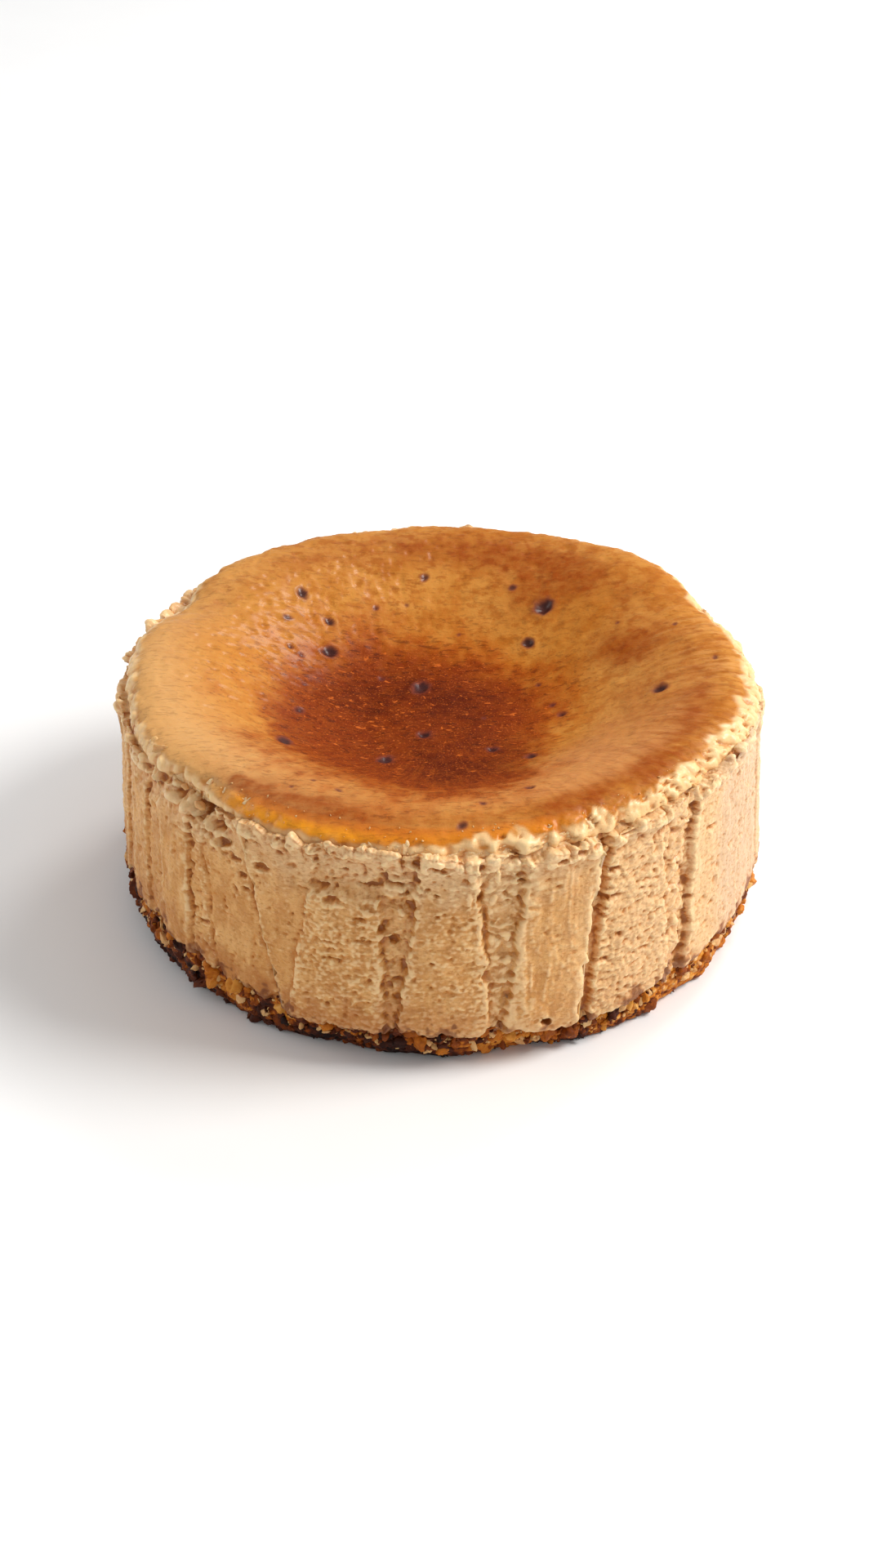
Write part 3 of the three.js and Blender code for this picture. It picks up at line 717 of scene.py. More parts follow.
def sideColours(angle, plain, detail, shares):
    # Painted shading is how far the blurred relief lies over the relief itself, near and far: painted shade
    # in recesses, a painted highlight on proud edges. The stain of the foot and the painted light of the
    # upper front and the right, where the key light falls, have patchy edges
    x, y, height = np.moveaxis(plain, -1, 0)
    near = (blurred(detail, 2, 2) - detail) / 0.32
    far = (blurred(detail, 7, 7) - detail) / 1.5
    # Painted shade in recesses and on recessed facets, a painted highlight where the relief stands proud;
    # one recess at the front gets less shade
    cavity = (0.65 - 0.2 * shares["torn"]) * np.clip(near, -0.9, 1.3) + (0.5 + 0.35 * shares["rocky"]) * far
    paleRecess = 0.35 * bell((angle - 10) / 4.5)  # one recess at the front is as light as its strips
    cavity = np.clip(cavity + 0.12 * (1 - shares["stand"]) - paleRecess, -1, 1)
    foot = alongLine(crumbLine, angle)
    patches = noise(x / 2.6, y / 2.6, height / 3.4, 62) + 0.6 * noise(x, y, height, 63)
    stain = smooth(patches + (foot + 3.2 - height) / 4.2, 0.0, 1.1)
    tint = 0.36 + 0.18 * bell((angle + 24) / 20) - 0.16 * smooth(angle, 2, 12) - 0.2 * smooth(angle, 50, 60)
    tint = np.maximum(tint, 0.3 * smooth(angle, 95, 120))
    stain = np.maximum(stain, tint * smooth((foot + 11 - height) / 7.5 + 0.6 * patches, 0, 1.1))
    # Painted light: the right side, where the key light falls, and the upper front are painted lighter; a
    # band on the far right is painted paler and greyer, as glare washes it out
    paintedGlare = smooth(angle, 50, 62) * (1 - smooth(angle, 72, 94))
    fair = 0.7 * smooth(angle, 8, 46) * (1 - smooth(angle, 140, 200)) + 0.3 * paintedGlare
    upper = smooth(height + 3 * patches, 37.0, 54.0)
    fair = np.maximum(fair, (0.42 + 0.28 * bell((angle + 3) / 22)) * upper)
    return {"cavity": cavity, "stain": stain, "fair": fair}


def makeSide(name, fromFold, toFold, step):
    # The rows of points, each moved along the surface's normal by the texture there, and an unseen inner
    # wall. Rows close to a loop, and a fan about its middle closes each end
    columns = round(math.radians(toFold[0] - fromFold[0]) * cake["flareRadius"] / step)
    plain, angle, shares, bulk = sidePoints(fromFold, toFold, columns)
    texture = sideTexture(angle, plain[..., 2], shares)
    points = plain + gridNormals(plain) * texture[..., None]
    x, y, z = np.moveaxis(plain, -1, 0)
    points[..., 2] += shares["torn"] * 0.4 * noise(x / 1.8, y / 1.8, z / 1.8, 61)
    fields = {"torn": shares["torn"], "stripes": shares["stripes"]}
    fields.update(sideColours(angle, plain, bulk + texture - 0.4 * shares["stand"], shares))
    keep = slice(side["spare"] - 1, 1 - side["spare"])
    points, angle = points[:, keep], angle[:, keep]
    inner = np.stack([around(side["innerRadius"], angle[0], z) for z in side["innerHeights"]])
    grid = np.concatenate([points, inner])
    rows, columns = grid.shape[:2]
    count, last = rows * columns, columns - 1
    loop = np.arange(rows) * columns
    nextLoop = np.roll(loop, -1)
    caps = np.concatenate([
        np.stack([loop, nextLoop, np.full(rows, count)], -1),
        np.stack([nextLoop + last, loop + last, np.full(rows, count + 1)], -1),
    ])
    vertices = np.concatenate([grid.reshape(-1, 3), [grid[:, 0].mean(0), grid[:, -1].mean(0)]])
    unseen = np.zeros(len(inner) * columns + 2)
    fields = {key: np.append(field[:, keep].ravel(), unseen) for key, field in fields.items()}
    return makePiece(name, vertices, gridFaces(rows, columns, closeRows=True), caps, fields)


# Browned skin of the top

skin = {
    "grid": 296,  # points along a side of the square that is mapped to the disc
    "rollShare": 0.84,  # share of the rings that lie inside the crest
    "ragged": 5.0,  # degrees of the roll that the torn edge wanders
    "lobes": (62, 74),  # of the torn edge: how many in a round, and their seed
    "smallLobes": (150, 75),
    "dripAngle": 9,  # drips at the front, and how far round they reach
    "dripWidth": 17,
    "tuck": ((0.1, 0.35), (-0.05, 0.7), (-0.4, 0.95), (-1.6, 0.7)),  # out and down, in thicknesses
    "hidden": ((6, -1.0), (14, 2.0)),  # in and down under the skin, in mm
    "closing": 30.0,  # height of the point that closes it underneath
}
skinEdge = [  # degrees of the roll that the skin covers
    (-150, 78), (-125, 72), (-112, 66), (-98, 60), (-88, 66), (-78, 54), (-70, 62), (-63, 72), (-58, 74),
    (-54, 60), (-48, 64), (-42, 80), (-37, 96), (-30, 100), (-12, 100), (2, 98), (12, 94), (22, 92),
    (32, 88), (46, 84), (58, 86), (70, 88), (88, 84), (112, 72), (135, 76), (160, 82), (188, 80),
]
paleEdge = [  # degrees of the roll where the browning gives way to pale cream
    (-150, 50), (-62, 48), (-46, 62), (-41, 80), (-35, 84), (-28, 82), (-10, 72), (-2, 64), (6, 58),
    (14, 54), (30, 54), (45, 42), (60, 34), (75, 30), (90, 34), (105, 42), (150, 50),
]
skinThickness = [  # of the skin at its torn edge
    (-150, 1.2), (-100, 1.8), (-60, 2.3), (-44, 1.6), (-34, 0.4), (60, 0.35), (95, 0.6), (150, 1.0),
]
bubbles = [  # burst bubbles: x, y, half length of the mouth, depth
    (25.2, 36.3, 2.2, 1.5), (-26.9, 22.4, 2.0, 1.3), (-4.9, 13.2, 1.9, 1.0), (21.1, 27.1, 1.6, 1.1),
    (50.8, -6.6, 1.7, 1.1), (-34.0, 37.9, 1.4, 0.8), (-27.1, 31.4, 1.3, 0.8), (-4.1, 48.1, 1.0, 0.6),
    (-16.1, 38.0, 0.9, 0.6), (-4.0, -8.0, 1.7, 1.0), (-12.8, -19.9, 1.6, 0.9), (11.9, -14.9, 1.4, 0.8),
    (20.6, -22.1, 1.3, 0.7), (28.4, -2.1, 1.0, 0.7), (23.3, 12.2, 0.8, 0.5), (-35.7, -23.4, 1.6, 0.8),
    (-36.0, 20.4, 0.9, 0.5), (-14.4, 16.9, 0.9, 0.5), (-33.3, -3.5, 1.0, 0.5), (-37.3, 29.0, 1.2, 0.3),
    (-33.4, 18.6, 0.7, 0.4), (-8.5, 40.0, 0.6, 0.3), (-28.0, -49.0, 0.7, 0.4), (-22.3, -53.1, 0.7, 0.4),
    (17.6, 43.7, 1.1, 0.3), (26.5, 2.6, 0.7, 0.4), (10.2, -0.7, 0.6, 0.3), (55.9, 19.5, 0.7, 0.3),
    (64.2, 2.1, 0.7, 0.3), (42.6, 24.6, 0.6, 0.2), (4.4, 32.2, 0.5, 0.2), (19.5, -51.2, 1.0, 0.5),
    (9.2, -59.1, 0.9, 0.3), (4.5, -68.0, 1.1, 0.3), (-32.6, -53.3, 0.6, 0.3), (-32.5, 8.4, 0.8, 0.4),
]
burnReach = [  # how far from the middle the burn ends: angle, radius
    (0, 70), (14, 66), (30, 53), (60, 38), (90, 36), (120, 36), (150, 33), (180, 36), (210, 40), (240, 44),
    (270, 47), (300, 53), (330, 61),
]
toastSpots = [  # darker toasted areas of the slope: x, y, half widths, share
    (45, 16, 8, 8, 1.25), (51, 2, 5, 9, 0.15), (8, 58, 20, 8, 0.4), (-24, 52, 18, 9, 0.3),
    (49, 33, 7, 9, 0.3), (52, -10, 9, 13, 0.5), (22, 40, 14, 10, 0.3), (-40, 30, 14, 14, 0.2),
    (34, 47, 13, 8, 0.4), (-38, -54, 8, 5, 0.9), (-27, -60, 9, 4.5, 0.9), (-14, -65, 8, 3.5, 0.5),
]
toastRing = [  # browning along the rim: angle, radius, half width, share
    (-60, 66, 4, 0.0), (-47, 67, 4, 0.3), (-41, 68, 3, 1.2), (-22, 68.5, 3.4, 1.3), (-12, 67.5, 3, 0.5),
    (0, 68, 3, 0.4), (12, 67, 3.5, 0.7), (30, 66, 4.5, 1.1), (55, 64.5, 4.5, 1.1), (75, 62, 4.5, 0.75),
    (92, 60, 5, 0.35), (108, 56, 6, 0.2), (128, 54, 7, 0.5), (150, 54, 9, 1.0), (165, 57, 8, 0.8),
    (185, 60, 6, 0.5), (205, 60, 5, 0.25), (230, 60, 5, 0.1),
]


def squareToDisc(count):
    # A square grid folded onto a disc: rings of the square become circles. Returns ring share and angle
    line = np.linspace(-1, 1, count)
    u, v = np.meshgrid(line, line)
    flat = np.abs(u) >= np.abs(v)
    ring = np.where(flat, u, v)
    safe = np.where(ring == 0, 1, ring)
    turn = np.where(flat, (math.pi / 4) * v / safe, math.pi / 2 - (math.pi / 4) * u / safe)
    x, y = ring * np.cos(turn), ring * np.sin(turn)
    return np.hypot(x, y), np.degrees(np.arctan2(x, -y))


def skinPoint(ring, angle):
    # Inside the crest the rings follow the dish, outside they follow the roll up to the torn edge
    out, _ = rimShift(angle)
    x, y, _ = onSide(angle)
    lobed = 0.25 + 0.75 * sum(nearAngle(angle, *where) for where in ((-62, 30), (120, 60), (220, 60)))
    large, small = (scallops(angle, *skin[key]) for key in ("lobes", "smallLobes"))
    ragged = skin["ragged"] * (noise(x / 5, y / 5, 0.5, 71) + noise(x / 1.5, y / 1.5, 0.5, 72))
    ragged = ragged + lobed * (24 * large + 9 * small - 15)
    edge = alongLine(skinEdge, angle) + ragged
    inside = np.clip(ring / skin["rollShare"], 0, 1)
    turn = np.clip((ring - skin["rollShare"]) / (1 - skin["rollShare"]), 0, 1) * edge
    rollRadius, rollHeight = rollPoint(turn, angle)
    onRoll = ring > skin["rollShare"]
    radius = np.where(onRoll, rollRadius, inside * (cake["crestRadius"] + out))
    height = np.where(onRoll, rollHeight, dishHeight(radius, angle))
    return radius, height, turn


def bubbleFields(x, y):
    # Every burst bubble is a bowl with a low raised lip; its stain reaches a little further
    depth, stain = 0.0, 0.0
    bend = 0.22 * noise(x / 1.1, y / 1.1, 0, 73)
    for k, (cx, cy, half, deep) in enumerate(bubbles):
        squash = 1 + 0.35 * math.sin(k * 2.4)
        swing = 0.6 * math.sin(k * 1.7)
        dx = (x - cx) * math.cos(swing) + (y - cy) * math.sin(swing)
        dy = (y - cy) * math.cos(swing) - (x - cx) * math.sin(swing)
        far = np.sqrt((dx / half) ** 2 + (dy * squash / half) ** 2)
        depth = depth + deep * (0.16 * bell((far - 1.2) / 0.35) - 0.75 * bell(far / 0.8) ** 1.3)
        strength = min(1, 0.45 + 0.3 * half)
        stain = np.maximum(stain, strength * (1 - smooth(far + bend, 0.3, 1.75)))
    return depth, stain


def skinFields(x, y, ring, angle, turn):
    # Shares of each colour of the browned top, all with edges that noise makes uneven
    wander = layered(x / 9, y / 9, 0, 81)
    fine = layered(x / 2.6, y / 2.6, 0, 82)
    far = np.hypot(x + 2, y - 1) / alongLine(burnReach, np.degrees(np.arctan2(x, -y)))
    flat = np.maximum(np.hypot(x, y), 1)
    fibres = noise(x / flat * 9, y / flat * 9, flat / 30, 85)
    fibres = fibres + 0.6 * noise(x / flat * 24, y / flat * 24, flat / 14, 86)
    fibres = fibres * smooth(flat, 14, 36) * smooth(-y, -10, 30)
    burn = 1 - smooth(far + 0.1 * wander + 0.07 * fine + 0.05 * fibres, 0.36, 1.22)
    core = bell(np.hypot((x + 6) / 24, (y - 8) / 12)) + bell(np.hypot((x - 2) / 20, (y + 24) / 16))
    dark = np.clip(core * (0.95 + 0.6 * wander + 0.4 * fine), 0, 1) * burn
    toast = sum(
        share * bell(np.hypot((x - cx) / wide, (y - cy) / deep)) for cx, cy, wide, deep, share in toastSpots
    )
    at, *columns = np.array(toastRing).T
    ringRadius, ringWidth, ringShare = (alongLine(np.stack([at, v], -1), angle) for v in columns)
    toast = toast + ringShare * bell((np.hypot(x, y) - ringRadius + 0.8 * wander) / ringWidth)
    toast = np.clip(toast * (0.88 + 0.3 * wander + 0.3 * fine), 0, 1) * (1 - smooth(turn, 30, 58))
    sx, sy, _ = onSide(angle)
    streaks = 0.9 * noise(sx / 4.5, sy / 4.5, turn / 40, 83)
    streaks = streaks + 0.7 * noise(sx / 1.7, sy / 1.7, turn / 25, 84)
    front = smooth(angle, -46, -34) * (1 - smooth(angle, 8, 44))
    right = smooth(angle, 6, 24) * (1 - smooth(angle, 92, 112))
    drip = nearAngle(angle, skin["dripAngle"], skin["dripWidth"])
    limit = alongLine(paleEdge, angle)
    faded = smooth(turn + (10 + 12 * drip) * streaks, limit - 12, limit + 2)
    amber = front * smooth(turn, 10, 32) * (1 - faded)
    glow = amber * smooth(turn + 8 * streaks, limit - 46, limit - 12) * (1 - 0.7 * smooth(angle, -24, -4))
    edge = smooth(turn + (13 + 5 * right + 12 * drip) * streaks, limit - 9, limit + 9)
    pale = nearAngle(angle, -78, 46) * smooth(ring, 0.62, 0.9)
    pale = np.clip(pale + 0.45 * nearAngle(angle, -45, 35) * smooth(ring, 0.5, 0.7), 0, 1)
    warm = nearAngle(angle, -95, 55) * smooth(ring, 0.45, 0.6) * (1 - smooth(ring, 0.72, 0.85))
    tan = nearAngle(angle, 40, 42) * smooth(ring, 0.38, 0.55) * (1 - smooth(ring, 0.76, 0.86))
    rays = nearAngle(angle, 78, 44) * smooth(ring, 0.5, 0.8) * np.clip(0.75 + 0.6 * wander, 0, 1)
    peel = np.clip(nearAngle(angle, -118, 62) + 0.4 * nearAngle(angle, 175, 60), 0, 1)
    peel = peel * smooth(ring, 0.36, 0.55) * (1 - smooth(ring, 0.8, 0.9))
    return {"burn": burn, "dark": dark, "toast": toast, "amber": amber, "glow": glow, "pale": pale,
            "edge": edge, "warm": warm, "rays": rays, "peel": peel, "tan": tan, "right": right}


def makeSkin():
    # Points of the disc, each moved along the surface's normal by the sum of its pits, swells, wrinkles and
    # torn lumps
    count = skin["grid"]
    ring, angle = squareToDisc(count)
    radius, height, turn = skinPoint(ring, angle)
    points = around(radius, angle, height)
    x, y, z = np.moveaxis(points, -1, 0)
    pit, stain = bubbleFields(x, y)
    swell = 0.4 * noise(x / 19, y / 19, 0, 91) + 0.2 * noise(x / 7.5, y / 7.5, 0, 92)
    fields = skinFields(x, y, ring, angle, turn)
    dimples = hollows(x / 2.5, y / 2.5, 90, 0.75, 0.2, 0.56) * (0.12 + 0.5 * fields["peel"])
    grain = 0.1 * noise(x / 2.6, y / 2.6, z / 2.6, 93) + 0.06 * noise(x / 1.3, y / 1.3, z / 1.3, 94)
    flat = np.maximum(np.hypot(x, y), 1)
    wrinkle = (0.05 + 0.2 * fields["rays"]) * noise(x / flat * 42, y / flat * 42, flat / 9, 95)
    rim = smooth(turn, 30, 75)
    teeth = 0.35 * noise(x / 1.6, y / 1.6, turn / 40, 96) + 0.3 * noise(x / 3, y / 3, turn / 30, 97)
    teeth = rim * teeth * (1 + 1.4 * nearAngle(angle, skin["dripAngle"], skin["dripWidth"]))
    torn = 1 - nearAngle(angle, -8, 26)
    right = fields.pop("right")
    coarse = curds(x / 4.0, y / 4.0, z / 4.2, 98) - 0.65
    crumbly = curds(x / 1.6, y / 1.6, z / 2.4, 99) - 0.7
    lobes = (1.1 + 0.1 * right) * coarse + (0.6 + 0.3 * right) * crumbly
    holes = hollows(angle * 0.45, turn / 11, 92, 0.45 * right, 0.2, 0.5)
    relief = pit + swell - dimples + grain + wrinkle + teeth - 2.4 * holes * smooth(turn, 32, 48)
    relief = relief + smooth(turn, 22, 60 - 18 * right) * torn * lobes
    points = points + gridNormals(points) * relief[..., None]
    fields["pit"] = stain
    # Painted shading of the torn rim: shade in its hollows, highlight on its proud lumps
    fields["cavity"] = np.clip((blurred(relief, 4, 4) - relief) / 0.45, -1, 1) * smooth(turn, 18, 44)
    # The torn edge turns under and runs back beneath the skin
    index = np.arange(count * count).reshape(count, count)
    border = np.concatenate([index[0, :-1], index[:-1, -1], index[-1, :0:-1], index[:0:-1, 0]])
    edgePoints = points.reshape(-1, 3)[border]
    edgeAngle = angle.ravel()[border]
    edgeRadius, edgeHeight = np.hypot(edgePoints[:, 0], edgePoints[:, 1]), edgePoints[:, 2]
    thick = alongLine(skinThickness, edgeAngle) * (0.75 + 0.5 * scallops(edgeAngle, *skin["lobes"]))
    rings = [around(edgeRadius + out * thick, edgeAngle, edgeHeight - down * thick)
             for out, down in skin["tuck"]]
    rings += [around(edgeRadius - inward, edgeAngle, edgeHeight - down) for inward, down in skin["hidden"]]
    closing = [[0, 0, skin["closing"]]]
    vertices = np.concatenate([points.reshape(-1, 3), *rings, closing])
    ringIndex = count * count + np.arange(len(rings) * len(border)).reshape(-1, len(border))
    ringIndex = np.concatenate([border[None], ringIndex])
    follow = np.roll(ringIndex, -1, axis=1)
    skirtQuads = np.stack([ringIndex[:-1], ringIndex[1:], follow[1:], follow[:-1]], -1).reshape(-1, 4)
    fan = np.stack([ringIndex[-1], np.full(len(border), len(vertices) - 1), follow[-1]], -1)
    attributes = {}
    for key, field in fields.items():
        edgeValue = field.ravel()[border]
        attributes[key] = np.concatenate([field.ravel(), np.tile(edgeValue, len(rings)), [0]])
    quads = np.concatenate([gridFaces(count, count), skirtQuads])
    return makePiece("browned_skin", vertices, quads, fan, attributes)


# Biscuit base

base = {
    "columns": 1100,
    "sideRows": 64,
    "thickness": 7.0,  # under the body, where nothing is seen
    "underRadius": 40.0,  # last rings before the middle, below and above
    "overRadius": 50.0,
    "toneRadius": 75.0,  # where the noise of the baking is read
    "chunks": 560,
    "crumbs": 1700,
    "flakes": 700,  # specks of cream on the crumbs
    "rimSpecks": 150,
    "seed": 5,
}
scorchLine = [  # how burnt the crumbs are at the foot
    (-90, 0.9), (-62, 0.95), (-46, 1.1), (-40, 0.65), (-34, 1.0), (-28, 0.8), (-22, 1.1), (-14, 0.85),
    (-9, 1.3), (-5, 1.0), (0, 1.2), (5, 0.7), (12, 0.35), (18, 0.5), (24, 0.7), (30, 0.3), (38, 0.3),
    (46, 0.2), (56, 0.05), (75, 0.1), (90, 0.4), (110, 0.5), (130, 0.9), (165, 0.5), (195, 0.9),
    (225, 0.5), (245, 0.9),
]


def basePoint(angle, share):
    # The side of the base from the underside (share 0) to the crumb line (share 1)
    height = share * (alongLine(crumbLine, angle) - 0.3)
    stand = alongLine(footLine, angle) * (1 - share)
    return sideRadius(height) + stand - 0.35 - 0.8 * share**2, height


def scorchAt(angle, height):  # the line's value, less the higher it is, made uneven by noise
    x, y, z = np.moveaxis(around(base["toneRadius"], angle, height), -1, 0)
    uneven = 0.45 * layered(x / 4.5, y / 4.5, z / 3.5, 101)
    return np.clip(alongLine(scorchLine, angle) - 0.06 * height + uneven, 0, 1)


def makeBaseCore():
    # The side of the base moved outwards by curds, with rings under and over it that end in a fan each
    angle = np.linspace(-180, 180, base["columns"], endpoint=False)[None, :]
    share = np.linspace(0, 1, base["sideRows"])[:, None]
    radius, height = basePoint(angle, share)
    x, y, z = np.moveaxis(around(radius, angle, height), -1, 0)
    coarse = curds(x / 3.0, y / 3.0, z / 2.4, 111) - 0.7
    fine = curds(x / 1.3, y / 1.3, z / 1.1, 114) - 0.7
    radius = radius + (1.3 * coarse + 0.6 * fine - 0.1) * smooth(share, -0.02, 0.1)
    under = [(base["underRadius"], 0.0), (radius[0] - 1.2, 0.0)]
    over = [(radius[-1] - 3.0, height[-1]), (base["overRadius"], base["thickness"])]
    rows = [around(r, angle[0], z) for r, z in under]
    rows += list(around(radius, angle, height))
    rows += [around(r, angle[0], z) for r, z in over]
    grid = np.stack(rows)
    count = len(rows) * base["columns"]
    vertices = np.concatenate([grid.reshape(-1, 3), [[0, 0, 0], [0, 0, base["thickness"]]]])
    quads = gridFaces(len(rows), base["columns"], closeColumns=True)
    first = np.arange(base["columns"])
    last = first + count - base["columns"]
    fans = np.concatenate([
        np.stack([np.roll(first, -1), first, np.full_like(first, count)], -1),
        np.stack([last, np.roll(last, -1), np.full_like(last, count + 1)], -1),
    ])
    bake = np.full((len(rows), base["columns"]), 0.6)
    grains = noise(x / 1.6, y / 1.6, z / 1.6, 117)
    # How toasted the crumb is, plus painted shade: darker in the creases between curds, lighter on their
    # tops
    bake[len(under):-len(over)] = 0.36 + 0.6 * scorchAt(angle, height) ** 1.3 + 0.25 * grains - 0.5 * fine
    return makePiece("biscuit_core", vertices, quads, fans, {"bake": np.append(bake.ravel(), [0.6, 0.6])})


def ballShape(rounds):
    # Icosahedron whose faces are split `rounds` times and pushed out to a sphere
    g = (1 + math.sqrt(5)) / 2
    points = np.array([(-1, g, 0), (1, g, 0), (-1, -g, 0), (1, -g, 0), (0, -1, g), (0, 1, g),
                       (0, -1, -g), (0, 1, -g), (g, 0, -1), (g, 0, 1), (-g, 0, -1), (-g, 0, 1)])
    faces = np.array([(0, 11, 5), (0, 5, 1), (0, 1, 7), (0, 7, 10), (0, 10, 11), (1, 5, 9), (5, 11, 4),
                      (11, 10, 2), (10, 7, 6), (7, 1, 8), (3, 9, 4), (3, 4, 2), (3, 2, 6), (3, 6, 8),
                      (3, 8, 9), (4, 9, 5), (2, 4, 11), (6, 2, 10), (8, 6, 7), (9, 8, 1)])
    for _ in range(rounds):
        edges = np.sort(np.concatenate([faces[:, [0, 1]], faces[:, [1, 2]], faces[:, [2, 0]]]), 1)
        edges, where = np.unique(edges, axis=0, return_inverse=True)
        a, b, c = (where.reshape(-1)[i * len(faces):(i + 1) * len(faces)] + len(points) for i in range(3))
        points = np.concatenate([points, points[edges].mean(1)])
        f0, f1, f2 = faces.T
        faces = np.concatenate([np.stack(t, -1) for t in ((f0, a, c), (f1, b, a), (f2, c, b), (a, b, c))])
    return points / np.linalg.norm(points, axis=1, keepdims=True), faces


def scatterLumps(places, sizes, flat, roughness, rounds, random):
    # Every lump is the ball, stretched, roughened by noise, turned at random and moved to its place
    ball, faces = ballShape(rounds)
    n = len(places)
    stretch = random.uniform(0.6, 1.4, (n, 1, 3)) * np.array([1, 1, flat])
    offset = random.uniform(0, 500, (n, 1, 3))
    px, py, pz = np.moveaxis(ball[None] * 1.6 + offset, -1, 0)
    bumpy = noise(px, py, pz, 121) + 0.5 * noise(px * 2.3, py * 2.3, pz * 2.3, 122)
    bumpy = 1 + roughness * bumpy
    shapes = ball[None] * stretch * bumpy[..., None] * sizes[:, None, None]
    quats = random.normal(size=(n, 4))
    w, a, b, c = (quats / np.linalg.norm(quats, axis=1, keepdims=True)).T
    spin = np.stack([
        np.stack([1 - 2 * (b * b + c * c), 2 * (a * b - w * c), 2 * (a * c + w * b)], -1),
        np.stack([2 * (a * b + w * c), 1 - 2 * (a * a + c * c), 2 * (b * c - w * a)], -1),
        np.stack([2 * (a * c - w * b), 2 * (b * c + w * a), 1 - 2 * (a * a + b * b)], -1),
    ], 1)
    points = np.einsum("nij,nvj->nvi", spin, shapes) + places[:, None]
    triangles = (faces[None] + (np.arange(n) * len(ball))[:, None, None]).reshape(-1, 3)
    return points.reshape(-1, 3), triangles, len(ball)


def makeCrumbs(name, count, small, large, rounds, seed, highest, toasted):
    # Crumbs half sunk into the side of the base, fewer and smaller above its edge
    random = np.random.default_rng(seed)
    angle = random.uniform(-180, 180, count)
    share = highest * random.random(count) ** 0.85
    radius, height = basePoint(angle, share)
    size = small + (large - small) * random.random(count) ** 2.2
    size = size * np.where(share > 1, 0.55, 1)
    height = np.maximum(height, size * 0.7)
    sink = random.uniform(0.0, 0.7, count) + 0.5 * (1 - smooth(share, 0.1, 0.5))
    places = around(radius - sink * size, angle, height)
    points, triangles, each = scatterLumps(places, size, 0.7, 0.4, rounds, random)
    points[:, 2] = np.maximum(points[:, 2], 0.02)
    bake = np.clip(random.normal(toasted, 0.17, count) + 0.55 * scorchAt(angle, height) ** 1.5, 0, 1)
    return makePiece(name, points, [], triangles, {"bake": np.repeat(bake, each)}, sharpFrom=50)


shreds = [  # larger pale shreds at the torn rim: angle, radius, height, size
    (-60.5, 71.8, 57.0, 1.9), (-63.5, 71.6, 57.6, 1.3), (-68, 71.4, 56.8, 1.2), (-56, 72.2, 55.4, 1.2),
    (-52, 72.0, 54.2, 1.1), (-47, 72.6, 52.6, 1.3), (28.5, 74.0, 51.6, 1.1), (31, 73.4, 53.0, 1.0),
    (50, 73.2, 55.6, 1.3), (66, 72.8, 56.4, 1.2), (83, 72.4, 57.0, 1.2),
]


def makeFlakes():
    # Specks of cream smeared over the crumbs, and tiny ones on the rim
    random = np.random.default_rng(base["seed"] + 2)
    count = base["flakes"]
    angle = random.uniform(-180, 180, count)
    radius, height = basePoint(angle, random.uniform(0.4, 1.12, count))
    size = 0.35 + 1.2 * random.random(count) ** 2.5
    places = around(radius - 0.1 * size, angle, np.maximum(height, size))
    specks = base["rimSpecks"]
    rimAngle = random.uniform(-44, 62, specks)
    rimTurn = random.uniform(20, 96, specks)
    rimRadius, rimHeight = rollPoint(rimTurn, rimAngle)
    at, out, up, wide = np.array(shreds).T
    places = np.concatenate([places, around(rimRadius, rimAngle, rimHeight), around(out, at, up)])
    size = np.concatenate([size, random.uniform(0.1, 0.27, specks), wide])
    points, triangles, each = scatterLumps(places, size, 0.5, 0.4, 1, random)
    points[:, 2] = np.maximum(points[:, 2], 0.02)
    zero = np.zeros(len(points))
    # The flakes are painted a little lighter, as proud edges are: a painted highlight
    fields = {"cavity": zero - 0.3, "torn": zero + 0.5, "stripes": zero, "stain": zero, "fair": zero}
    return makePiece("cream_flakes", points, [], triangles, fields, sharpFrom=60)


# Finishes

def bakedCream():
    m = Maker("baked_cream")
    cavity, torn, fair, stain, stripes = m.masks("cavity", "torn", "fair", "stain", "stripes")
    broad = m.noise(m.place(), 60, 3)
    patch = m.noise(m.place((1, 1, 0.6)), 260, 4)
    fine = m.noise(m.place(), 1500, 3, 0.6)
    grain = m.noise(m.place((1, 1, 2.2)), 900, 3, 0.6)
    stripe = m.noise(m.place((1, 1, 0.04)), 1000, 2)
    tone = m.blend(broad.between(0.35, 0.65), colour(214, 154, 86), colour(226, 170, 104))
    tone = m.paint(tone, [
        (patch.between(0.4, 0.62) * 0.65, 194, 129, 62),
        # Painted light: lighter where the key light falls, paler and greyer in the glare at the far right
        (fair.between(0.0, 0.7) * 0.85, 226, 186, 138),
        (fair.between(0.72, 1.0) * 0.75, 208, 174, 142),
        (torn * 0.25, 230, 182, 118),
        (grain.between(0.52, 0.66) * 0.5, 178, 112, 48),
        (fine.between(0.56, 0.7) * 0.25, 240, 204, 150),
        # Painted shade in recesses, amber then darker brown, and a painted highlight on proud edges
        (cavity.between(0.1, 0.8) * (0.35 + 0.8 * patch), 198, 120, 40),
        (cavity.between(0.6, 1.0) * 0.7, 150, 80, 20),
        ((0 - cavity).between(0.08, 0.7) * 0.6, 246, 214, 162),  # proud edges
        (stain.between(0.0, 0.6) * (0.3 + 0.6 * patch), 178, 106, 44),
        (stain.between(0.45, 1.0) * (0.3 + 0.8 * patch), 112, 54, 14),
    ])
    height = fine * 0.35 + stripe * stripes * 0.35 + patch * 0.5 + grain * 0.6
    return m.finish({
        "Base Color": tone, "Roughness": 0.42 + 0.18 * fine - torn * 0.1,
        "Normal": m.bump(height, 0.0005, 0.7), "Specular IOR Level": 0.35,
        "Coat Weight": torn * 0.3, "Coat Roughness": 0.24,
        "Subsurface Weight": 0.2, "Subsurface Radius": (1.0, 0.5, 0.25), "Subsurface Scale": 0.0025,
    })


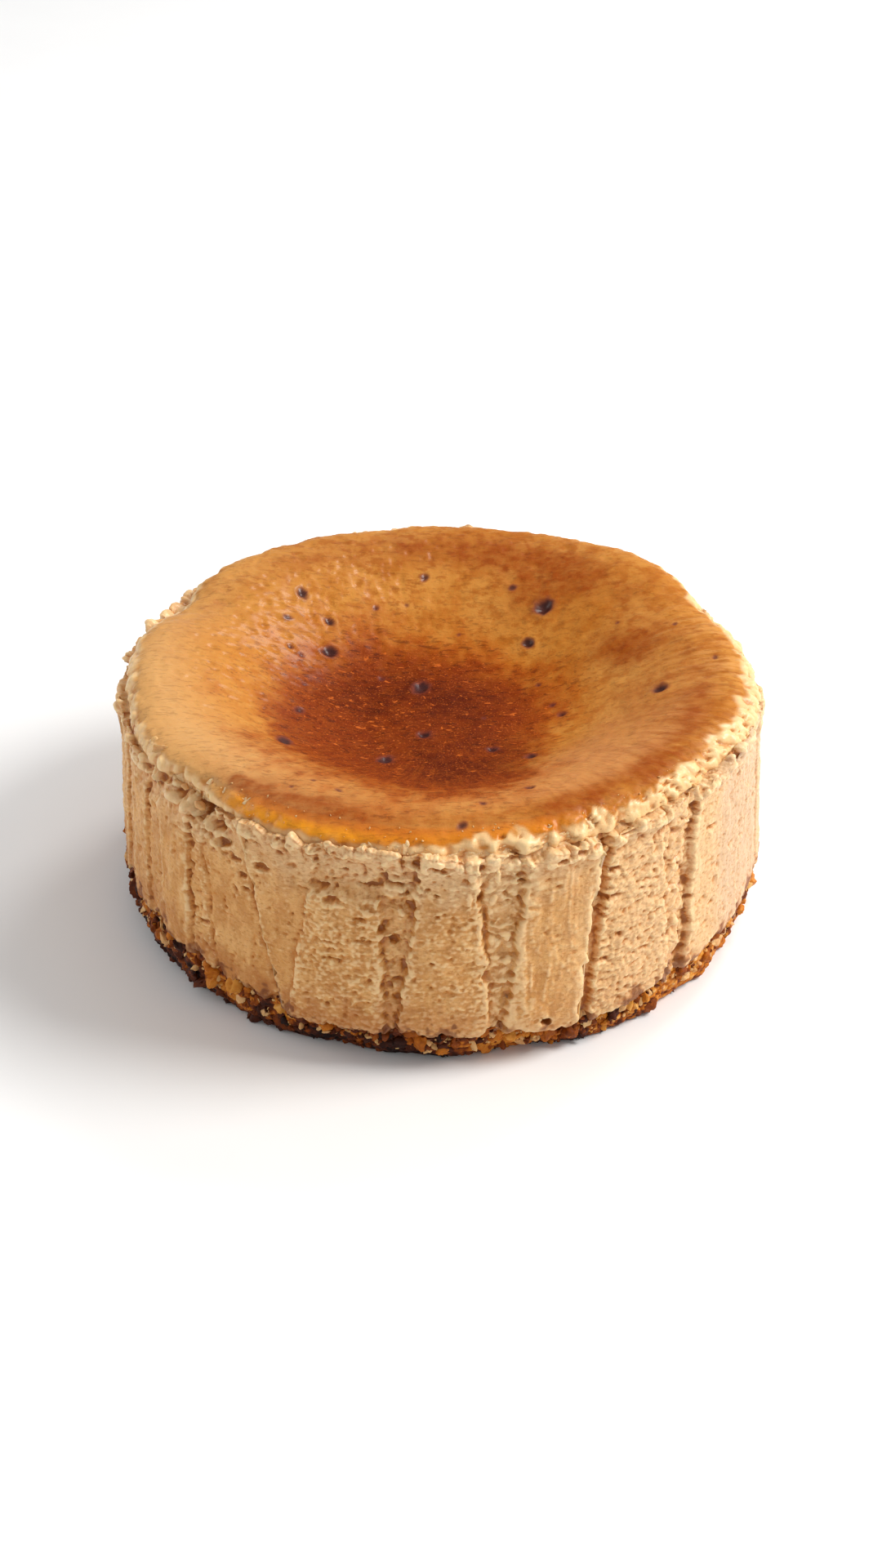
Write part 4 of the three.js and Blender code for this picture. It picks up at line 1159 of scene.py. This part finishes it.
def brownedSkin():
    m = Maker("browned_skin")
    x, y = m.part(m.place(), 0), m.part(m.place(), 1)
    reach = (x * x + y * y) ** 0.5 + 0.0001
    ray = m.add("ShaderNodeCombineXYZ", {}, {0: x / reach * 0.06, 1: y / reach * 0.06, 2: reach * 0.16})
    rays = m.noise(ray, 620, 4, 0.6)
    broad = m.noise(m.place(), 45, 3)
    golden = m.noise(m.place(), 150, 4, 0.6)
    mottle = m.noise(m.place((0.8, 1.0, 1.0)), 420, 4, 0.6)
    fibre = m.noise(m.place((0.3, 1.0, 1.0), (0, 0, 0.12)), 1150, 4, 0.6, 0.5)
    fine = m.noise(m.place(), 2400, 2)
    flecks = m.noise(m.place((0.6, 1.0, 1.0)), 900, 2, 0.5, 0.6)
    burn, dark, toast, amber, glow = m.masks("burn", "dark", "toast", "amber", "glow")
    pale, tan, warm, peel, streaky = m.masks("pale", "tan", "warm", "peel", "rays")
    pit, edge, cavity = m.masks("pit", "edge", "cavity")
    front = burn * (0 - y).between(0.0, 0.034)
    tone = m.blend(broad.between(0.35, 0.68), colour(186, 118, 46), colour(200, 137, 64))
    tone = m.paint(tone, [
        (golden.between(0.46, 0.62) * 0.6, 168, 94, 24),
        (mottle.between(0.5, 0.62) * (0.4 + 0.3 * peel), 160, 88, 24),
        (warm * 0.6, 200, 130, 44),
        (pale * 0.85, 214, 161, 100),
        (tan * (0.4 + 0.5 * golden), 194, 130, 80),
        (streaky * rays.between(0.5, 0.4) * 0.5, 214, 152, 88),
        (streaky * rays.between(0.5, 0.64) * 0.6, 150, 80, 24),
        (toast * (0.35 + 0.85 * mottle), 142, 64, 6),
        ((amber - toast * 0.5) * (0.6 + 0.5 * golden), 202, 108, 12),
        (glow * (0.5 + 0.7 * golden) - toast * 0.25, 248, 160, 26),
        (burn.between(0.0, 0.8) * (0.65 + 0.5 * mottle), 164, 78, 14),
        (burn.between(0.3, 1.0) * (0.6 + 0.6 * mottle), 120, 47, 8),
        (dark * (0.25 + 0.9 * mottle), 76, 24, 6),
        (fibre.between(0.53, 0.64) * (burn * 0.55 + 0.2), 74, 28, 8),
        (rays.between(0.5, 0.64) * front * 0.45, 92, 36, 8),
        (rays.between(0.5, 0.36) * front * 0.2, 190, 96, 30),
        (fine.between(0.58, 0.72) * (burn * 0.5 + 0.1), 206, 104, 44),
        (flecks.between(0.64, 0.72) * burn * 0.6, 222, 112, 44),
        (edge * 0.9, 236, 194, 138),
        # Painted shade in the hollows of the torn rim and a painted highlight on its proud lumps
        (cavity.between(0.1, 0.9) * 0.65, 190, 112, 40),
        ((0 - cavity).between(0.15, 0.9) * (edge * 0.5 + 0.08), 246, 214, 160),  # proud edges
        (pit.between(0.0, 0.6) * 0.7, 112, 52, 40),
        (pit.between(0.4, 0.9) * 0.9, 58, 26, 26),
    ])
    height = mottle * 0.5 + fibre * (0.4 + 0.6 * burn) + fine * 0.15 + streaky * rays * 0.8
    gloss = pit * 0.3 + amber * 0.34 + peel * 0.3 + pale * 0.14 + edge * 0.4 + streaky * 0.08
    return m.finish({
        "Base Color": tone, "Roughness": 0.42 + 0.16 * mottle, "Normal": m.bump(height, 0.0006, 0.6),
        "Specular IOR Level": 0.06, "Coat Weight": gloss, "Coat Roughness": 0.26,
        "Subsurface Weight": 0.1, "Subsurface Radius": (1.0, 0.45, 0.2), "Subsurface Scale": 0.002,
    })


def biscuit():
    m = Maker("biscuit_crumb")
    bake, = m.masks("bake")
    mottle = m.noise(m.place(), 700, 4, 0.6)
    fine = m.noise(m.place(), 2400, 3, 0.6)
    stops = [(0.0, colour(226, 178, 112)), (0.16, colour(214, 146, 62)), (0.34, colour(190, 108, 26)),
             (0.5, colour(136, 66, 12)), (0.7, colour(84, 36, 6)), (1.0, colour(34, 12, 3))]
    # The ramp reads the toasting, which on the core also holds painted shade in the creases
    shade = bake + 0.4 * (mottle - 0.5)
    tone = m.add("ShaderNodeValToRGB", {"stops": stops}, {0: shade})
    normal = m.bump(mottle * 0.6 + fine * 0.4, 0.0004, 0.7)
    return m.finish({
        "Base Color": tone, "Roughness": 0.42 + 0.3 * fine, "Normal": normal, "Specular IOR Level": 0.2,
        "Subsurface Weight": 0.08, "Subsurface Radius": (1.0, 0.5, 0.2), "Subsurface Scale": 0.0015,
    })


# Assembly

cream, brownTop, crumb = bakedCream(), brownedSkin(), biscuit()
folds = [facets[i][:2] for i in (0, 7, 13, 20, 30)]  # where one piece of the side ends and the next begins
folds.append((folds[0][0] + 360, folds[0][1] + 360))
steps = [side["columnStep"]] * 3 + [side["backStep"]] * 2
names = ["side_left", "side_middle", "side_right", "side_back_right", "side_back_left"]
sidePieces = [makeSide(*args) for args in zip(names, folds, folds[1:], steps)]
skinPiece = makeSkin()
basePieces = [
    makeBaseCore(),
    makeCrumbs("biscuit_chunks", base["chunks"], small=1.0, large=2.4, rounds=2, seed=base["seed"],
               highest=0.95, toasted=0.36),
    makeCrumbs("biscuit_crumbs", base["crumbs"], small=0.35, large=1.05, rounds=1, seed=base["seed"] + 1,
               highest=1.25, toasted=0.42),
]
flakes = makeFlakes()
for piece in (*sidePieces, skinPiece, flakes):
    piece.data.materials.append(brownTop if piece is skinPiece else cream)
    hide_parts("cheesecake")
for piece in basePieces:
    piece.data.materials.append(crumb)
    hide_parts("biscuit_base")
print("cake made")


# Floor, light and camera

studio = {
    "elevation": 32.89,  # degrees, camera above the horizon
    "distance": 694.2 * mm,
    "aim": 26.1 * mm,  # height that the camera looks at
    "lens": 66.45,
    "floor": 2.4,  # metres, as the lights' distances and sizes are
    "surround": 0.5,  # strength of the white all round
}
lights = [  # name, degrees round from behind the camera, degrees up, distance, size, power, colour
    ("window", 90, 44, 1.3, 0.6, 16.2, (1.0, 0.985, 0.96)),
    ("fill", -98, 22, 1.3, 0.8, 3.2, (1.0, 0.99, 0.97)),
    ("back", 145, 46, 1.3, 0.35, 4, (1.0, 1.0, 1.0)),
]


def makeFloor():
    half = studio["floor"] / 2
    mesh = bpy.data.meshes.new("floor")
    corners = [(-half, -half, 0), (half, -half, 0), (half, half, 0), (-half, half, 0)]
    mesh.from_pydata(corners, [], [(0, 1, 2, 3)])
    m = Maker("pale_floor")
    tone = m.blend(m.noise(m.place(), 30, 2), colour(243, 243, 243), colour(247, 247, 247))
    mesh.materials.append(m.finish({"Base Color": tone, "Roughness": 0.6}))
    floor = addObject("floor", mesh)


def makeLight(name, azimuth, elevation, distance, size, power, tint):
    # A round area light that looks at the middle of the cake's underside
    data = bpy.data.lights.new(name, "AREA")
    data.shape, data.size, data.energy, data.color = "DISK", size, power, tint
    turned = Matrix.Rotation(math.radians(azimuth), 4, "Z")
    turned = turned @ Matrix.Rotation(math.radians(90 - elevation), 4, "X")
    addObject(name, data).matrix_world = turned @ Matrix.Translation((0, 0, distance))


def makeCamera():
    # It looks at a point over the middle of the foot, from its distance along a line raised by its elevation
    e = math.radians(studio["elevation"])
    data = bpy.data.cameras.new("camera")
    data.lens = studio["lens"]
    data.clip_start, data.clip_end = 0.01, 20
    camera = addObject("camera", data)
    where = (0, -studio["distance"] * math.cos(e), studio["aim"] + studio["distance"] * math.sin(e))
    camera.matrix_world = Matrix.Translation(where) @ Matrix.Rotation(math.pi / 2 - e, 4, "X")
    bpy.context.scene.camera = camera


def makeSurround():
    world = bpy.data.worlds.new("studio")
    world.use_nodes = True
    background = world.node_tree.nodes["Background"]
    background.inputs["Color"].default_value = (1.0, 1.0, 1.0, 1.0)
    background.inputs["Strength"].default_value = studio["surround"]
    bpy.context.scene.world = world
    bpy.context.scene.view_settings.view_transform = "Standard"


makeFloor()
for light in lights:
    makeLight(*light)
makeCamera()
makeSurround()
print("studio made")
